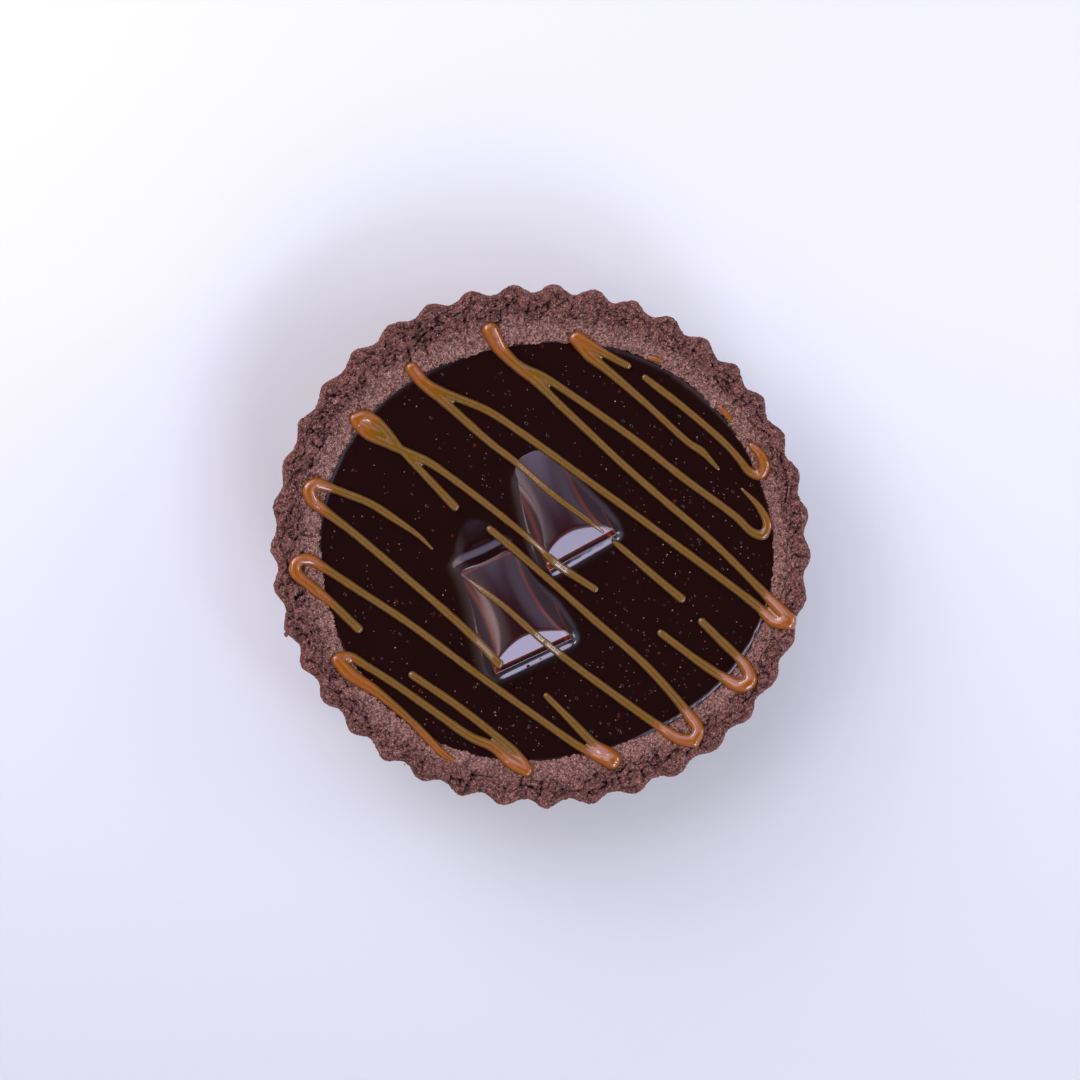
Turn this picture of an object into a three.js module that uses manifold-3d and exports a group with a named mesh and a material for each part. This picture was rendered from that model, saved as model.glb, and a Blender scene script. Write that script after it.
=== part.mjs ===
// A chocolate tart for one: a fluted cocoa shortcrust case, poured full of dark
// ganache, with two pieces of moulded chocolate bar set into the top and a thin
// salted-caramel drizzle zigzagging over everything.
//
// Units are millimetres, +Z is up, and z = 0 is the flat underside of the case.
// The case, the ganache and the two chocolate pieces are separate solids. Each
// stretch of drizzle is joined to whichever of them it lies on.

import * as THREE from "three";
import { mergeVertices } from "three/addons/utils/BufferGeometryUtils.js";
import Module from "manifold-3d";

const wasm = await Module();
wasm.setup();

// ---------------------------------------------------------------- dimensions

const GAP = 0.3; // air kept between neighbouring solids

// Pastry case
const TOP_RADIUS = 49.6; // mean radius at the rim
const BASE_RADIUS = 44.0; // the tin tapers towards its loose base
const RIM_HEIGHT = 20; // highest line of the rim
const LIP_HEIGHT = 18.7; // where the fluted wall rounds over into the rim
const HEEL = 0.8; // small round at the foot of the wall
const FLUTES = 39;
const FLUTE_DEPTH = 0.72; // half the height of a wave at the rim
const BASE_THICKNESS = 4;
const CRAG = 0.35; // tears and crumbs of the baked rim
const COLUMNS = FLUTES * 4; // crest, flank, valley, flank

// Ganache
const GANACHE_LEVEL = 17.9;
const MENISCUS = 0.45; // it climbs the pastry by this much
const WALL_SLANT = 3; // the inside of the case narrows by this towards its floor...
const COLLAR = 2.2; // ...below an upright collar this deep

// Moulded chocolate bar, measured on one raised segment
const BAR_CROWN = 2.7; // top of the barrel-shaped face above the shoulder
const BAR_EDGE = 1.7; // height of the face where it meets the side bevels
const FRONT_BEVEL = 3.9;
const BACK_BEVEL = 1.6;
const FOOT_DROP = 1.8; // the broken foot below the shoulder leans out...
const FOOT_OUTSET = 0.3; // ...by this much
const LEDGE_FALL = 0.05; // the ledge before the front bevel is almost level
const BAR_BURIED = 5; // depth of the bar below the shoulder
const GROOVE_DEPTH = 1.9;
const GROOVE_HALF = 1.7;
const SECOND_DROP = 0.45; // the strip sagged a little beyond its groove
const SAG = 0.005; // the face is slightly barrel-shaped along its length too

// A strip of one segment and part of the next in front, one single segment behind.
// `left` and `right` are half-widths at the shoulder, where the bevels start, and
// the ridges are where the bevels meet the face: the bar's sides were not alike.
// `ledge` is what is left of the groove along which the front end was broken off.
// `heading` turns the bar's long axis, `tilt` lifts its front end clear of the
// ganache and `roll` its left side, in degrees. The face is highest at `middle`.
// The strip was snapped along the line `snap`, so its right flank is straight.
const FRONT_PIECE = {
  x: -7.7, y: -5.7, z: GANACHE_LEVEL - 0.55, heading: -155.3, tilt: 8, roll: 1.2,
  left: 8.8, leftRidge: 6.1, right: 7.0, rightRidge: 3.8,
  back: -15.75, groove: -4.6, middle: 4.7, front: 15.75, ledge: 0.9,
  snap: [[6.7, -16.6], [-9.7, 9.5]],
};
const BACK_PIECE = {
  x: 3, y: 7.5, z: GANACHE_LEVEL - 0.05, heading: -151.5, tilt: 9.5, roll: 1.7,
  left: 7.5, leftRidge: 5.5, right: 7.0, rightRidge: 4.2,
  back: -12.3, groove: null, middle: 0.5, front: 9.25, ledge: 1.0,
  snap: null,
};

// Drizzle, as it left the spoon: [x, y, width] along each stroke.
const STROKES = [
  [[-34.7, -15.9, 1.7], [-39.7, -11.1, 1.7], [-43.8, -7.7, 1.8], [-46.5, -5, 2],
    [-46, -3.2, 2], [-44, -2.8, 2], [-41.5, -4.2, 1.8], [-35.5, -8.1, 1.6],
    [-25, -15, 1.5], [-13.7, -23.4, 1.5], [-1.5, -32.2, 1.5], [8.6, -39, 1.7],
    [13, -40.5, 3.2]],
  [[12.6, -40, 2.8], [9.5, -37.4, 1.8], [4.9, -32.7, 1.5], [0.7, -28.5, 1.2]],
  [[-38.6, -21.8, 2.1], [-36.5, -24.2, 2.3], [-31, -28, 1.9], [-24.8, -33.3, 1.5],
    [-18.7, -39.4, 1.3], [-16.6, -40.7, 0.6]],
  [[-38.4, -21.4, 1.9], [-36.3, -21.2, 1.8], [-33.4, -22.8, 1.6], [-28, -26.2, 1.5],
    [-20, -31.8, 1.6], [-13.5, -36.3, 1.8], [-9.5, -38.1, 2], [-6, -41, 2.2],
    [-3, -42.6, 2]],
  [[-3, -42.2, 2], [-5.2, -39.2, 1.8], [-9.5, -35.5, 1.6], [-16.5, -30.1, 1.6],
    [-24.6, -24.6, 1.5]],
  [[-20.8, -0.8, 0.6], [-23.4, 1.7, 1], [-28, 4.9, 1.5], [-32.4, 7.7, 1.6],
    [-36.8, 9.5, 1.6], [-40.6, 10.9, 1.8], [-42.8, 11.4, 2], [-43.9, 10.3, 2.1],
    [-43.4, 8.4, 2.1], [-41.5, 6.7, 1.9], [-35.9, 2.4, 1.6], [-24.9, -6.9, 1.5],
    [-16.5, -14.2, 1.6], [-11.2, -19.2, 1.7], [-8.2, -22.4, 1.8]],
  [[-16.5, 7.1, 1.7], [-23, 14, 1.5], [-26.8, 18.1, 1.5], [-29.3, 21.2, 1.8],
    [-31.2, 23.1, 2], [-33.4, 24.1, 2.2], [-35.2, 23.6, 2.2]],
  [[-34.9, 22.9, 2.2], [-33.1, 20.9, 2.2], [-29.3, 19, 1.8], [-21.8, 15.7, 1.6],
    [-18, 13.2, 1.5], [-6, 4, 1.4], [-0.8, -0.4, 1.1], [2.2, -3.3, 1.7],
    [6, -5.9, 1.6], [9.9, -8.4, 1.4]],
  [[-24.6, 33.1, 2.2], [-22.4, 30.3, 2.4], [-19.3, 27.6, 1.9], [-9.6, 19, 1.5],
    [-5, 15.5, 1.4], [2.2, 9.2, 1.3], [8, 4.9, 1.1], [11.4, 2.3, 0.6]],
  [[-24.2, 32.6, 2.1], [-21.6, 30, 2.3], [-18.5, 28.6, 1.8], [-10.3, 25.2, 1.5],
    [-4.3, 21.3, 1.5], [9.6, 11.3, 1.5], [18.3, 5, 1.5], [36.5, -8.5, 1.6],
    [40.6, -11.7, 1.8], [43.6, -14.4, 2.1], [46.2, -14.6, 2.4]],
  [[46.3, -14, 2.3], [44.4, -11.9, 2], [39.3, -6.6, 1.6], [32.2, 0.4, 1.5],
    [22.6, 8.6, 1.5], [15.2, 15.1, 1.5], [8.1, 21.8, 1.5], [2.5, 27.1, 1.6],
    [-0.8, 30.4, 1.9], [-4.8, 33.7, 2.2], [-8, 37, 2.5], [-9.8, 40.2, 2.8]],
  [[-9.8, 39.6, 2.2], [-7.3, 35.9, 2.2], [-3.8, 33.4, 1.8], [0.1, 31.7, 1.6],
    [5.2, 28.4, 1.5], [11.4, 24.1, 1.5], [18.3, 19.1, 1.5], [26.5, 12.6, 1.5],
    [36.5, 5.2, 1.5], [39.6, 2.3, 1.7], [41.6, 1.8, 1.9], [42.4, 3.7, 1.8],
    [40.9, 7, 1.4], [37.6, 10.5, 0.6]],
  [[16.1, 33.7, 1.4], [12.7, 35.5, 1.6], [9.5, 37.3, 1.9], [6.6, 39, 2.2]],
  [[6.2, 38.8, 2.2], [8.6, 35.8, 2.1], [12.1, 33, 1.8], [19.6, 26.5, 1.4],
    [27.7, 19.1, 1.4], [30, 17.6, 1.6], [33.2, 14.2, 0.7]],
  [[19.3, 31.5, 1.3], [22.4, 29.1, 1.5], [25.8, 26.5, 1.4], [34.3, 19.2, 1.4],
    [37.2, 16, 1.5], [39, 13.8, 1.8], [40.9, 13.1, 1.9], [41.8, 14.6, 1.8],
    [40.9, 17.1, 1.6], [39.4, 18.6, 1.2]],
  [[-9.9, 2.9, 1.4], [-6.3, -0.1, 1.6], [0.3, -5.8, 1.4], [9.6, -14.1, 1.5],
    [15.2, -18.9, 1.5], [19.6, -22.9, 1.6], [24.1, -27.8, 1.7], [27.4, -31.9, 1.9],
    [29.3, -35, 2.1], [28.4, -36.9, 2.2]],
  [[28.4, -36.9, 2.2], [25.8, -36.6, 2], [21.3, -33.8, 1.8], [14.8, -29.2, 1.6],
    [5.4, -22.3, 1.5], [0, -18, 1.4], [-2.7, -15.6, 1.4], [-7.2, -11.6, 1.2],
    [-11.5, -8.4, 1.3], [-13.8, -6.7, 0.6]],
  [[13.4, 0.5, 0.8], [14.6, -0.4, 1.3], [21.4, -6.2, 1.5], [26.2, -10.2, 1.7]],
  [[22.3, -16.7, 1.4], [30.1, -22.5, 1.7], [34, -25, 2], [37.2, -26.6, 2.2],
    [39, -25.6, 2.2], [38.4, -23.2, 1.9], [33, -17.5, 1.7], [30, -14.5, 1.6]],
];
const BEAD_SIDES = 6;
const BEAD_STEPS = 2; // rings of the bead between two listed points
const BEAD_RISE = 0.9; // height over half-width
const DRAPE = 1.2; // a bead bridges hollows shorter than this

// ------------------------------------------------------------ small helpers

const rad = THREE.MathUtils.degToRad;
const clamp = THREE.MathUtils.clamp;
const lerp = THREE.MathUtils.lerp;

// Smooth repeatable noise from -1 to 1 over the plane.
function lattice(i, j) {
  const s = Math.sin(i * 127.1 + j * 311.7) * 43758.5453;
  return 2 * (s - Math.floor(s)) - 1;
}

function noise(x, y) {
  const i = Math.floor(x);
  const j = Math.floor(y);
  const u = THREE.MathUtils.smoothstep(x - i, 0, 1);
  const v = THREE.MathUtils.smoothstep(y - j, 0, 1);
  const low = lerp(lattice(i, j), lattice(i + 1, j), u);
  const high = lerp(lattice(i, j + 1), lattice(i + 1, j + 1), u);
  return lerp(low, high, v);
}

// A closed three.js geometry as a manifold-3d solid.
function solidOf(geometry) {
  const bare = new THREE.BufferGeometry();
  bare.setAttribute("position", geometry.getAttribute("position"));
  bare.setIndex(geometry.index);
  const merged = mergeVertices(bare, 1e-4);
  const corners = merged.index.array;
  const triangles = [];
  for (let i = 0; i < corners.length; i += 3) {
    const [a, b, c] = [corners[i], corners[i + 1], corners[i + 2]];
    if (a !== b && b !== c && c !== a) triangles.push(a, b, c);
  }
  return new wasm.Manifold(new wasm.Mesh({
    numProp: 3,
    vertProperties: new Float32Array(merged.attributes.position.array),
    triVerts: new Uint32Array(triangles),
  }));
}

function geometryOf(solid) {
  const mesh = solid.getMesh();
  const geometry = new THREE.BufferGeometry();
  geometry.setAttribute("position", new THREE.BufferAttribute(mesh.vertProperties, 3));
  geometry.setIndex(new THREE.BufferAttribute(mesh.triVerts, 1));
  geometry.computeVertexNormals();
  return geometry;
}

// The largest body of a solid: scraps of drizzle that touch nothing are dropped.
function mainBody(solid) {
  const bodies = solid.decompose();
  return bodies.reduce((best, body) => (body.volume() > best.volume() ? body : best));
}

// A lathe whose rings are then placed one by one: the first and last rings are
// points on the axis, and `place(ring, angle)` returns the others.
function ringSolid(ringCount, columns, place) {
  const profile = [];
  for (let ring = 0; ring < ringCount; ring++) {
    const onAxis = ring === 0 || ring === ringCount - 1;
    profile.push(new THREE.Vector2(onAxis ? 0 : 1, ring));
  }
  const lathe = new THREE.LatheGeometry(profile, columns);
  const position = lathe.attributes.position;
  for (let i = 0; i < position.count; i++) {
    const column = Math.floor(i / ringCount) % columns;
    const p = place(i % ringCount, (column / columns) * 2 * Math.PI);
    position.setXYZ(i, p.x, p.y, p.z);
  }
  return solidOf(lathe);
}

const polar = (radius, angle, z) =>
  new THREE.Vector3(radius * Math.cos(angle), radius * Math.sin(angle), z);

// --------------------------------------------------------------- pastry case

// The case is a touch oval from handling, and its opening was pressed by hand.
function outerRadius(angle) {
  return TOP_RADIUS
    + 0.44 * Math.cos(angle + rad(143))
    + 0.96 * Math.cos(2 * (angle + rad(13)))
    - 0.16 * Math.cos(4 * angle);
}

function innerRadius(angle) {
  return 41.2
    + 1.39 * Math.cos(angle + rad(65))
    + 1.72 * Math.cos(2 * (angle - rad(5.5)))
    + 0.3 * Math.cos(3 * angle)
    + 0.45 * Math.cos(4 * (angle + rad(27.6)));
}

// Crests are 360/39 degrees apart, but shrinkage in the oven shifts them a little.
function creep(angle) {
  return rad(4.87
    + 1.09 * Math.cos(angle - rad(29.8))
    + 1.34 * Math.cos(2 * (angle + rad(22.5)))
    + 0.23 * Math.cos(3 * (angle - rad(49.5))));
}

// How far the wall swings in and out, deeper where the dough filled the tin well.
function flute(column, angle) {
  const depth = FLUTE_DEPTH + 0.13 * Math.cos(2 * (angle - rad(70)));
  return depth * Math.cos(FLUTES * column);
}

const TEAR_ANGLE = rad(121.5); // one deep radial crack across the rim

function rimHeight(angle, share) {
  const crest = 0.25;
  const lipDrop = (RIM_HEIGHT - LIP_HEIGHT) * Math.max(0, 1 - share / crest) ** 2;
  const slope = Math.max(0, (share - crest) / (1 - crest));
  const innerDrop = (RIM_HEIGHT - GANACHE_LEVEL - 0.2) * slope ** 1.5;
  return RIM_HEIGHT - lipDrop - innerDrop + 0.2 * noise(angle * 3.2 + 7, 0.5);
}

// Torn crumbs run along the rim, so the noise is stretched around it.
function crag(angle, share) {
  const along = angle * TOP_RADIUS / 3.4;
  const rough = share < 0.05 || share > 0.95 ? 0.4 : 1 - 0.55 * share;
  const tear = Math.exp(-(((angle - TEAR_ANGLE) / rad(1.3)) ** 2));
  return CRAG * rough * noise(along, share * 5.5 + 3) - (share < 0.9 ? 1.1 * tear : 0);
}

// Point on the top of the rim, share 0 at the outer edge and 1 at the opening.
function rimPoint(column, share) {
  const angle = column + creep(column);
  const radius = lerp(outerRadius(angle), innerRadius(angle), share);
  const swing = flute(column, angle) * (1 - share) ** 3;
  return polar(radius + swing, angle, rimHeight(angle, share) + crag(angle, share));
}

function wallPoint(column, z) {
  const angle = column + creep(column);
  const share = (z - HEEL) / (LIP_HEIGHT - HEEL);
  const radius = lerp(BASE_RADIUS, outerRadius(angle), share);
  const swing = flute(column, angle) * lerp(0.75, 1, share);
  const pitted = 0.12 * noise(angle * 18, z / 2.5);
  return polar(radius + swing + pitted, angle, z);
}

const WALL_RINGS = [HEEL, 6, 11, 15.5];
const RIM_RINGS = [0, 0.1, 0.24, 0.4, 0.58, 0.78, 1];

function caseSolid() {
  const rings = [
    () => new THREE.Vector3(0, 0, 0),
    (column) => {
      const foot = wallPoint(column, HEEL);
      return foot.multiplyScalar(1 - HEEL / BASE_RADIUS).setZ(0);
    },
    ...WALL_RINGS.map((z) => (column) => wallPoint(column, z)),
    ...RIM_RINGS.map((share) => (column) => rimPoint(column, share)),
    (column) => collarPoint(column + creep(column), 0),
    (column) => insidePoint(column + creep(column), 0.6, 0),
    (column) => insidePoint(column + creep(column), 0, 0),
    () => new THREE.Vector3(0, 0, BASE_THICKNESS),
  ];
  return ringSolid(rings.length, COLUMNS, (ring, column) => rings[ring](column));
}

// The hollow inside the case, `up` above its floor, drawn in by `inset`. The
// floor meets the wall in a small chamfer.
function insidePoint(angle, up, inset) {
  const slant = up < 0.5 ? WALL_SLANT + 0.8 : WALL_SLANT;
  const radius = innerRadius(angle) - slant - inset;
  return polar(radius, angle, BASE_THICKNESS + up + inset);
}

function collarPoint(angle, inset) {
  return polar(innerRadius(angle) - inset, angle, GANACHE_LEVEL - COLLAR);
}

// ------------------------------------------------------------------- ganache

const FILL_RINGS = [[0, MENISCUS], [0.6, 0.16], [1.8, 0]];

function fillSolid() {
  const top = FILL_RINGS.map(([inset, rise]) => (angle) =>
    polar(innerRadius(angle) - GAP - inset, angle, GANACHE_LEVEL + rise));
  const rings = [
    () => new THREE.Vector3(0, 0, BASE_THICKNESS + GAP),
    (angle) => insidePoint(angle, 0, GAP),
    (angle) => insidePoint(angle, 0.6, GAP),
    (angle) => collarPoint(angle, GAP),
    ...top,
    () => new THREE.Vector3(0, 0, GANACHE_LEVEL),
  ];
  return ringSolid(rings.length, COLUMNS / 2, (ring, angle) => rings[ring](angle));
}

// ---------------------------------------------------------- chocolate pieces

// Height of a segment's moulded face across its width, from the shoulder up.
function acrossBar(piece, u) {
  const { left, leftRidge, right, rightRidge } = piece;
  const [shoulder, ridge] = u > 0 ? [left, leftRidge] : [right, rightRidge];
  const side = Math.abs(u);
  if (side > shoulder) return (-FOOT_DROP * (side - shoulder)) / FOOT_OUTSET;
  if (side > ridge) return (BAR_EDGE * (shoulder - side)) / (shoulder - ridge);
  const off = (2 * u - leftRidge + rightRidge) / (leftRidge + rightRidge);
  return BAR_CROWN - (BAR_CROWN - BAR_EDGE) * off ** 2;
}

// The two long outlines whose overlap is the moulded shape. `grow` swells them.
function acrossShape(piece, grow) {
  const left = piece.left + grow;
  const right = piece.right + grow;
  const leftRidge = piece.leftRidge + grow;
  const rightRidge = piece.rightRidge + grow;
  const shape = new THREE.Shape();
  shape.moveTo(-right - FOOT_OUTSET, -BAR_BURIED - grow);
  shape.lineTo(left + FOOT_OUTSET, -BAR_BURIED - grow);
  shape.lineTo(left + FOOT_OUTSET, -FOOT_DROP + grow / 2);
  shape.lineTo(left, grow / 2);
  shape.lineTo(leftRidge, BAR_EDGE + grow);
  shape.quadraticCurveTo((leftRidge - rightRidge) / 2, 2 * BAR_CROWN - BAR_EDGE + grow,
    -rightRidge, BAR_EDGE + grow);
  shape.lineTo(-right, grow / 2);
  shape.lineTo(-right - FOOT_OUTSET, -FOOT_DROP + grow / 2);
  return shape;
}

// Corners of the outline along the bar, from its front end to its back end.
function alongPoints(piece, grow = 0) {
  const face = (v) => BAR_CROWN + 0.1 + grow - SAG * (v - piece.middle) ** 2;
  const front = piece.front + grow;
  const back = piece.back - grow;
  const faceFront = front - FRONT_BEVEL;
  const points = [
    [front + piece.ledge + FOOT_OUTSET, -FOOT_DROP + grow / 2],
    [front + piece.ledge, -LEDGE_FALL + grow / 2],
    [front, grow / 2],
    [faceFront, face(faceFront)],
    [lerp(faceFront, piece.middle, 0.5), face(lerp(faceFront, piece.middle, 0.5))],
    [piece.middle, face(piece.middle)],
  ];
  if (piece.groove !== null) {
    const nearSide = piece.groove + GROOVE_HALF;
    const second = BAR_CROWN + 0.1 + grow - SECOND_DROP;
    points.push([nearSide, face(nearSide)]);
    points.push([piece.groove, face(piece.middle) - GROOVE_DEPTH]);
    points.push([piece.groove - GROOVE_HALF, second]);
    points.push([back + BACK_BEVEL, second]);
  } else {
    points.push([lerp(back, piece.middle, 0.6), face(lerp(back, piece.middle, 0.6))]);
    points.push([back + BACK_BEVEL, face(back + BACK_BEVEL)]);
  }
  points.push([back, grow / 2]);
  points.push([back, -FOOT_DROP]);
  return points;
}

function alongShape(piece, grow) {
  const shape = new THREE.Shape();
  shape.moveTo(piece.back - grow, -BAR_BURIED - grow);
  shape.lineTo(piece.front + grow + piece.ledge + FOOT_OUTSET, -BAR_BURIED - grow);
  for (const [v, w] of alongPoints(piece, grow)) shape.lineTo(v, w);
  return shape;
}

function alongBar(piece, v) {
  const points = alongPoints(piece);
  if (v > points[0][0] || v < points.at(-1)[0]) return -BAR_BURIED;
  const next = points.findIndex((point) => point[0] <= v);
  if (next <= 0) return points[0][1];
  const [a, b] = [points[next - 1], points[next]];
  return lerp(a[1], b[1], (a[0] - v) / (a[0] - b[0] || 1));
}

// What the snap took away, as an upright block set back from it by `grow`.
function snappedAway(piece, grow) {
  const [from, to] = piece.snap.map(([x, y]) => new THREE.Vector2(x, y));
  const run = to.clone().sub(from).normalize();
  const right = new THREE.Vector2(run.y, -run.x);
  const near = from.clone().addScaledVector(right, grow).addScaledVector(run, -10);
  const far = to.clone().addScaledVector(right, grow).addScaledVector(run, 10);
  const corners = [
    near,
    near.clone().addScaledVector(right, 30),
    far.clone().addScaledVector(right, 30),
    far,
  ];
  return solidOf(new THREE.ExtrudeGeometry(new THREE.Shape(corners),
    { depth: 2 * RIM_HEIGHT, bevelEnabled: false }));
}

function pieceSolid(piece, grow = 0) {
  const wide = 2 * (piece.left + piece.right);
  const long = 4 * piece.front;
  const across = new THREE.ExtrudeGeometry(acrossShape(piece, grow),
    { depth: long, bevelEnabled: false, curveSegments: 6 });
  across.rotateX(Math.PI / 2).translate(0, long / 2, 0);
  const along = new THREE.ExtrudeGeometry(alongShape(piece, grow),
    { depth: wide, bevelEnabled: false });
  along.rotateX(Math.PI / 2).rotateZ(Math.PI / 2).translate(-wide / 2, 0, 0);
  const placed = new THREE.Matrix4().makeTranslation(piece.x, piece.y, piece.z)
    .multiply(new THREE.Matrix4().makeRotationZ(rad(piece.heading)))
    .multiply(new THREE.Matrix4().makeRotationX(rad(piece.tilt)))
    .multiply(new THREE.Matrix4().makeRotationY(rad(-piece.roll)));
  const bar = solidOf(across.applyMatrix4(placed))
    .intersect(solidOf(along.applyMatrix4(placed)));
  return piece.snap ? bar.subtract(snappedAway(piece, grow)) : bar;
}

// Top of a chocolate piece above the point (x, y), or -Infinity beside it.
function pieceTop(piece, x, y) {
  const turn = rad(piece.heading);
  const dx = x - piece.x;
  const dy = y - piece.y;
  const u = dx * Math.cos(turn) + dy * Math.sin(turn);
  const v = (-dx * Math.sin(turn) + dy * Math.cos(turn)) / Math.cos(rad(piece.tilt));
  const w = Math.min(acrossBar(piece, u), alongBar(piece, v));
  if (w < -FOOT_DROP || isSnappedAway(piece, x, y)) return -Infinity;
  return piece.z + u * Math.sin(rad(piece.roll))
    + v * Math.sin(rad(piece.tilt)) + w * Math.cos(rad(piece.tilt));
}

function isSnappedAway(piece, x, y) {
  if (!piece.snap) return false;
  const [[ax, ay], [bx, by]] = piece.snap;
  return (bx - ax) * (y - ay) - (by - ay) * (x - ax) < 0;
}

// Half-width of the bar where its flank passes through the ganache, at `v`.
function waterline(piece, v, shoulder, ridge) {
  const tilt = rad(piece.tilt);
  const needed = (GANACHE_LEVEL - piece.z - v * Math.sin(tilt)) / Math.cos(tilt);
  if (needed < 0) return shoulder + FOOT_OUTSET * Math.min(1, -needed / FOOT_DROP);
  if (needed < BAR_EDGE) return shoulder - ((shoulder - ridge) * needed) / BAR_EDGE;
  return ridge * Math.sqrt(clamp((BAR_CROWN - needed) / (BAR_CROWN - BAR_EDGE), 0.05, 1));
}

// An upright prism over the part of a chocolate piece that stands proud.
function pieceZone(piece, grow) {
  const back = piece.back + BACK_BEVEL;
  const front = piece.front + piece.ledge + FOOT_OUTSET;
  const stations = 8;
  const right = [];
  const left = [];
  for (let i = 0; i <= stations; i++) {
    const v = lerp(back, front, i / stations);
    const end = i === 0 ? -grow : i === stations ? grow : 0;
    const toLeft = waterline(piece, v, piece.left, piece.leftRidge) + grow;
    const toRight = waterline(piece, v, piece.right, piece.rightRidge) + grow;
    left.push(new THREE.Vector2(toLeft, v + end));
    right.unshift(new THREE.Vector2(-toRight, v + end));
  }
  const prism = new THREE.ExtrudeGeometry(new THREE.Shape([...left, ...right]),
    { depth: RIM_HEIGHT, bevelEnabled: false });
  prism.rotateZ(rad(piece.heading)).translate(piece.x, piece.y, BASE_THICKNESS + 6);
  const zone = solidOf(prism);
  return piece.snap ? zone.subtract(snappedAway(piece, grow)) : zone;
}

// ------------------------------------------------------------------- drizzle

// Height of whatever the caramel lands on.
function landing(x, y) {
  const angle = Math.atan2(y, x);
  const radius = Math.hypot(x, y);
  const inner = innerRadius(angle);
  if (radius > inner) {
    const share = 1 - (radius - inner) / (outerRadius(angle) - inner);
    return rimHeight(angle, clamp(share, 0, 1));
  }
  const pieces = [FRONT_PIECE, BACK_PIECE].map((piece) => pieceTop(piece, x, y));
  return Math.max(GANACHE_LEVEL, ...pieces);
}

// One stroke as a round-ended bead: a capsule bent along the stroke's curve.
function beadSolid(stroke, grow = 0) {
  const route = new THREE.CatmullRomCurve3(
    stroke.map(([x, y]) => new THREE.Vector3(x, y, 0)), false, "centripetal");
  const spans = stroke.length - 1;
  const steps = spans * BEAD_STEPS;
  const capsule = new THREE.CapsuleGeometry(1, steps, 2, BEAD_SIDES, steps);
  const position = capsule.attributes.position;
  const up = new THREE.Vector3(0, 0, 1);
  for (let i = 0; i < position.count; i++) {
    const station = position.getY(i) + steps / 2;
    const at = clamp(station / steps, 0, 1);
    const beyond = station - clamp(station, 0, steps);
    const span = Math.min(Math.floor(at * spans), spans - 1);
    const width = lerp(stroke[span][2], stroke[span + 1][2], at * spans - span);
    const half = width / 2 + grow;
    const tangent = route.getTangent(at);
    const side = new THREE.Vector3().crossVectors(up, tangent).normalize();
    const p = route.getPoint(at);
    p.z = drapeHeight(p, tangent);
    p.addScaledVector(tangent, beyond * half);
    p.addScaledVector(side, -position.getX(i) * half);
    p.z += position.getZ(i) * (half * BEAD_RISE + 0.1);
    position.setXYZ(i, p.x, p.y, p.z);
  }
  return solidOf(capsule);
}

// Caramel is thick enough to cut the corners of a step: it takes the mean height
// of what lies just behind and just ahead of it.
function drapeHeight(point, tangent) {
  const around = [-1, -0.5, 0, 0.5, 1].map((k) =>
    landing(point.x + k * DRAPE * tangent.x, point.y + k * DRAPE * tangent.y));
  return around.reduce((sum, z) => sum + z, 0) / around.length;
}

const union = (solids) => wasm.Manifold.union(solids);

// An upright plug over the opening of the case, `grow` wider than it.
function openingZone(grow) {
  const outline = [];
  for (let i = 0; i < COLUMNS; i++) {
    const angle = (i / COLUMNS) * 2 * Math.PI;
    const radius = innerRadius(angle) + grow;
    outline.push(new THREE.Vector2(radius * Math.cos(angle), radius * Math.sin(angle)));
  }
  const plug = new THREE.ExtrudeGeometry(new THREE.Shape(outline),
    { depth: RIM_HEIGHT, bevelEnabled: false });
  return solidOf(plug.translate(0, 0, BASE_THICKNESS + 6));
}

// ---------------------------------------------------------------- the pieces

const drizzle = union(STROKES.map((stroke) => beadSolid(stroke)));
const clearance = union(STROKES.map((stroke) => beadSolid(stroke, GAP)));

function chocolateSolids(piece) {
  const solid = mainBody(pieceSolid(piece).add(drizzle.intersect(pieceZone(piece, -GAP / 2))));
  const room = pieceSolid(piece, GAP).add(clearance.intersect(pieceZone(piece, GAP / 2)));
  return { solid, room };
}

const front = chocolateSolids(FRONT_PIECE);
const back = chocolateSolids(BACK_PIECE);

const crust = mainBody(caseSolid().add(drizzle.subtract(openingZone(GAP / 2))));
const ganache = mainBody(
  fillSolid()
    .add(drizzle.intersect(openingZone(-GAP / 2)))
    .subtract(front.room)
    .subtract(back.room));

const COCOA_PASTRY = new THREE.MeshStandardMaterial(
  { color: 0x63403b, roughness: 0.9, metalness: 0 });
const DARK_GANACHE = new THREE.MeshStandardMaterial(
  { color: 0x1e0d0b, roughness: 0.15, metalness: 0 });
const BAR_CHOCOLATE = new THREE.MeshStandardMaterial(
  { color: 0x3f2a2e, roughness: 0.3, metalness: 0 });

const tart = new THREE.Group();

function addPiece(name, solid, material) {
  const mesh = new THREE.Mesh(geometryOf(solid), material);
  mesh.name = name;
  tart.add(mesh);
}

addPiece("crust", crust, COCOA_PASTRY);
addPiece("ganache", ganache, DARK_GANACHE);
addPiece("chocolate_front", front.solid, BAR_CHOCOLATE);
addPiece("chocolate_back", back.solid, BAR_CHOCOLATE.clone());

export default tart;
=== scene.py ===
# %% [markdown]
# # A chocolate tart for one
# A fluted case of cocoa shortcrust is baked blind, poured full of dark ganache and
# finished with two pieces of moulded chocolate bar and a thin salted-caramel drizzle.
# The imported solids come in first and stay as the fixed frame. Each one is then
# replaced by a finer mesh with its own finish, in the same place and at the same size.

import bpy
import numpy as np
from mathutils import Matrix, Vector, kdtree


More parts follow.
